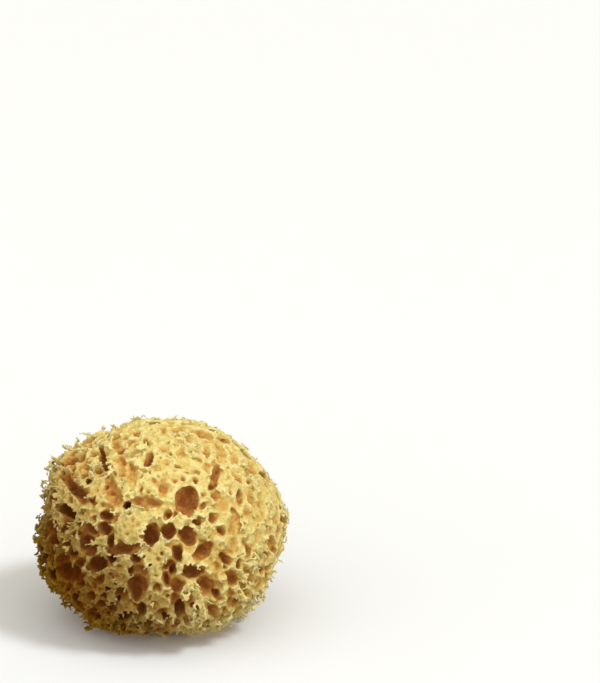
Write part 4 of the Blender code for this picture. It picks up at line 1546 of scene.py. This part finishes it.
fibre = fibre_material()
for piece in pieces:
    piece.data.materials.append(fibre)
print("The fibre's material has", len(fibre.node_tree.nodes), "nodes")

# %% [markdown]
# The sponge lies on plain white paper. A soft sun high at the right gives the light its direction,
# and a very wide one from the left front stands for a white wall. Little light comes back from
# below, so the lower left sinks into brown shadow.

# %% The stage
FLOOR_HALF = 8000.0
FLOOR_DROP = 0.1  # keeps the paper clear of the cut base
PAPER = "#e8edf4"  # a little bluish, so that it looks white in the warm light
# Name, towards x, y, z, strength, width in the sky in degrees.
SUNS = (
    ("key", (0.50, -0.28, 0.82), 1.5, 14.0),
    ("dome", (-0.26, -0.68, 0.68), 1.65, 120.0),
)
ROOM_COLOUR = "#fff1d2"
ROOM_LIGHT = 0.50


def floor_piece():
    """A square of matt white paper, wide enough to fill the picture."""
    square = np.array([(-1.0, -1.0, 0.0), (1.0, -1.0, 0.0), (1.0, 1.0, 0.0), (-1.0, 1.0, 0.0)])
    floor = mesh_from("floor", square * FLOOR_HALF - (0, 0, FLOOR_DROP), np.array([[0, 1, 2, 3]]))
    material = bpy.data.materials.new("white paper")
    material.use_nodes = True
    surface = material.node_tree.nodes["Principled BSDF"]
    surface.inputs["Base Color"].default_value = linear(PAPER)
    surface.inputs["Roughness"].default_value = 0.9
    floor.data.materials.append(material)
    return floor


def sun(name, towards, strength, degrees):
    """A far lamp. The wider it is in the sky, the softer are its shadows."""
    data = bpy.data.lights.new(name, "SUN")
    data.energy = strength
    data.angle = math.radians(degrees)
    thing = bpy.data.objects.new(name, data)
    thing.rotation_euler = Vector(towards).to_track_quat("Z", "Y").to_euler()
    bpy.context.scene.collection.objects.link(thing)


floor = floor_piece()
# The light that the paper would throw back up is kept off the sponge, as black cloth would do.
floor.visible_diffuse = False
for lamp in SUNS:
    sun(*lamp)

scene = bpy.context.scene
scene.world = bpy.data.worlds.new("room")
scene.world.use_nodes = True
room = scene.world.node_tree.nodes["Background"]
room.inputs["Color"].default_value = linear(ROOM_COLOUR)
room.inputs["Strength"].default_value = ROOM_LIGHT
scene.view_settings.view_transform = "Standard"
print("Lamps:", ", ".join(name for name, *_ in SUNS))

# %% [markdown]
# The camera looks down at the face by 22 degrees, with a long lens. It is turned a little off the
# sponge, which places the sponge at the lower left of the frame.

# %% The camera
LENS = 98.9
SENSOR = 36.0
FRAME_SIZE = (600, 683)  # the picture in pixels
HEART_AT = (162.0, 532.0)  # where the heart of the sponge lies in it, from the upper left


def aimed_camera():
    """Looks along a line turned off the heart by the angles that put the heart at its place."""
    right, up, ahead = sight_axes()
    pixels = LENS / SENSOR * max(FRAME_SIZE)
    across = (HEART_AT[0] - FRAME_SIZE[0] / 2) / pixels
    down = (HEART_AT[1] - FRAME_SIZE[1] / 2) / pixels
    # The heart lies at (across, -down, -1) in the camera's axes.
    local = Vector((across, -down, -1.0)).normalized()
    axes = Matrix((right, up, -ahead)).transposed()
    turn = local.rotation_difference(Vector((0.0, 0.0, -1.0)))
    data = bpy.data.cameras.new("camera")
    data.lens = LENS
    data.sensor_width = SENSOR
    camera = bpy.data.objects.new("camera", data)
    eye = Vector((HEART - ahead * EYE_AWAY) * METRES)
    camera.matrix_world = Matrix.Translation(eye) @ (axes @ turn.to_matrix()).to_4x4()
    bpy.context.scene.collection.objects.link(camera)
    return camera


scene.camera = aimed_camera()
print("The camera looks from", [round(c / METRES) for c in scene.camera.matrix_world.translation])
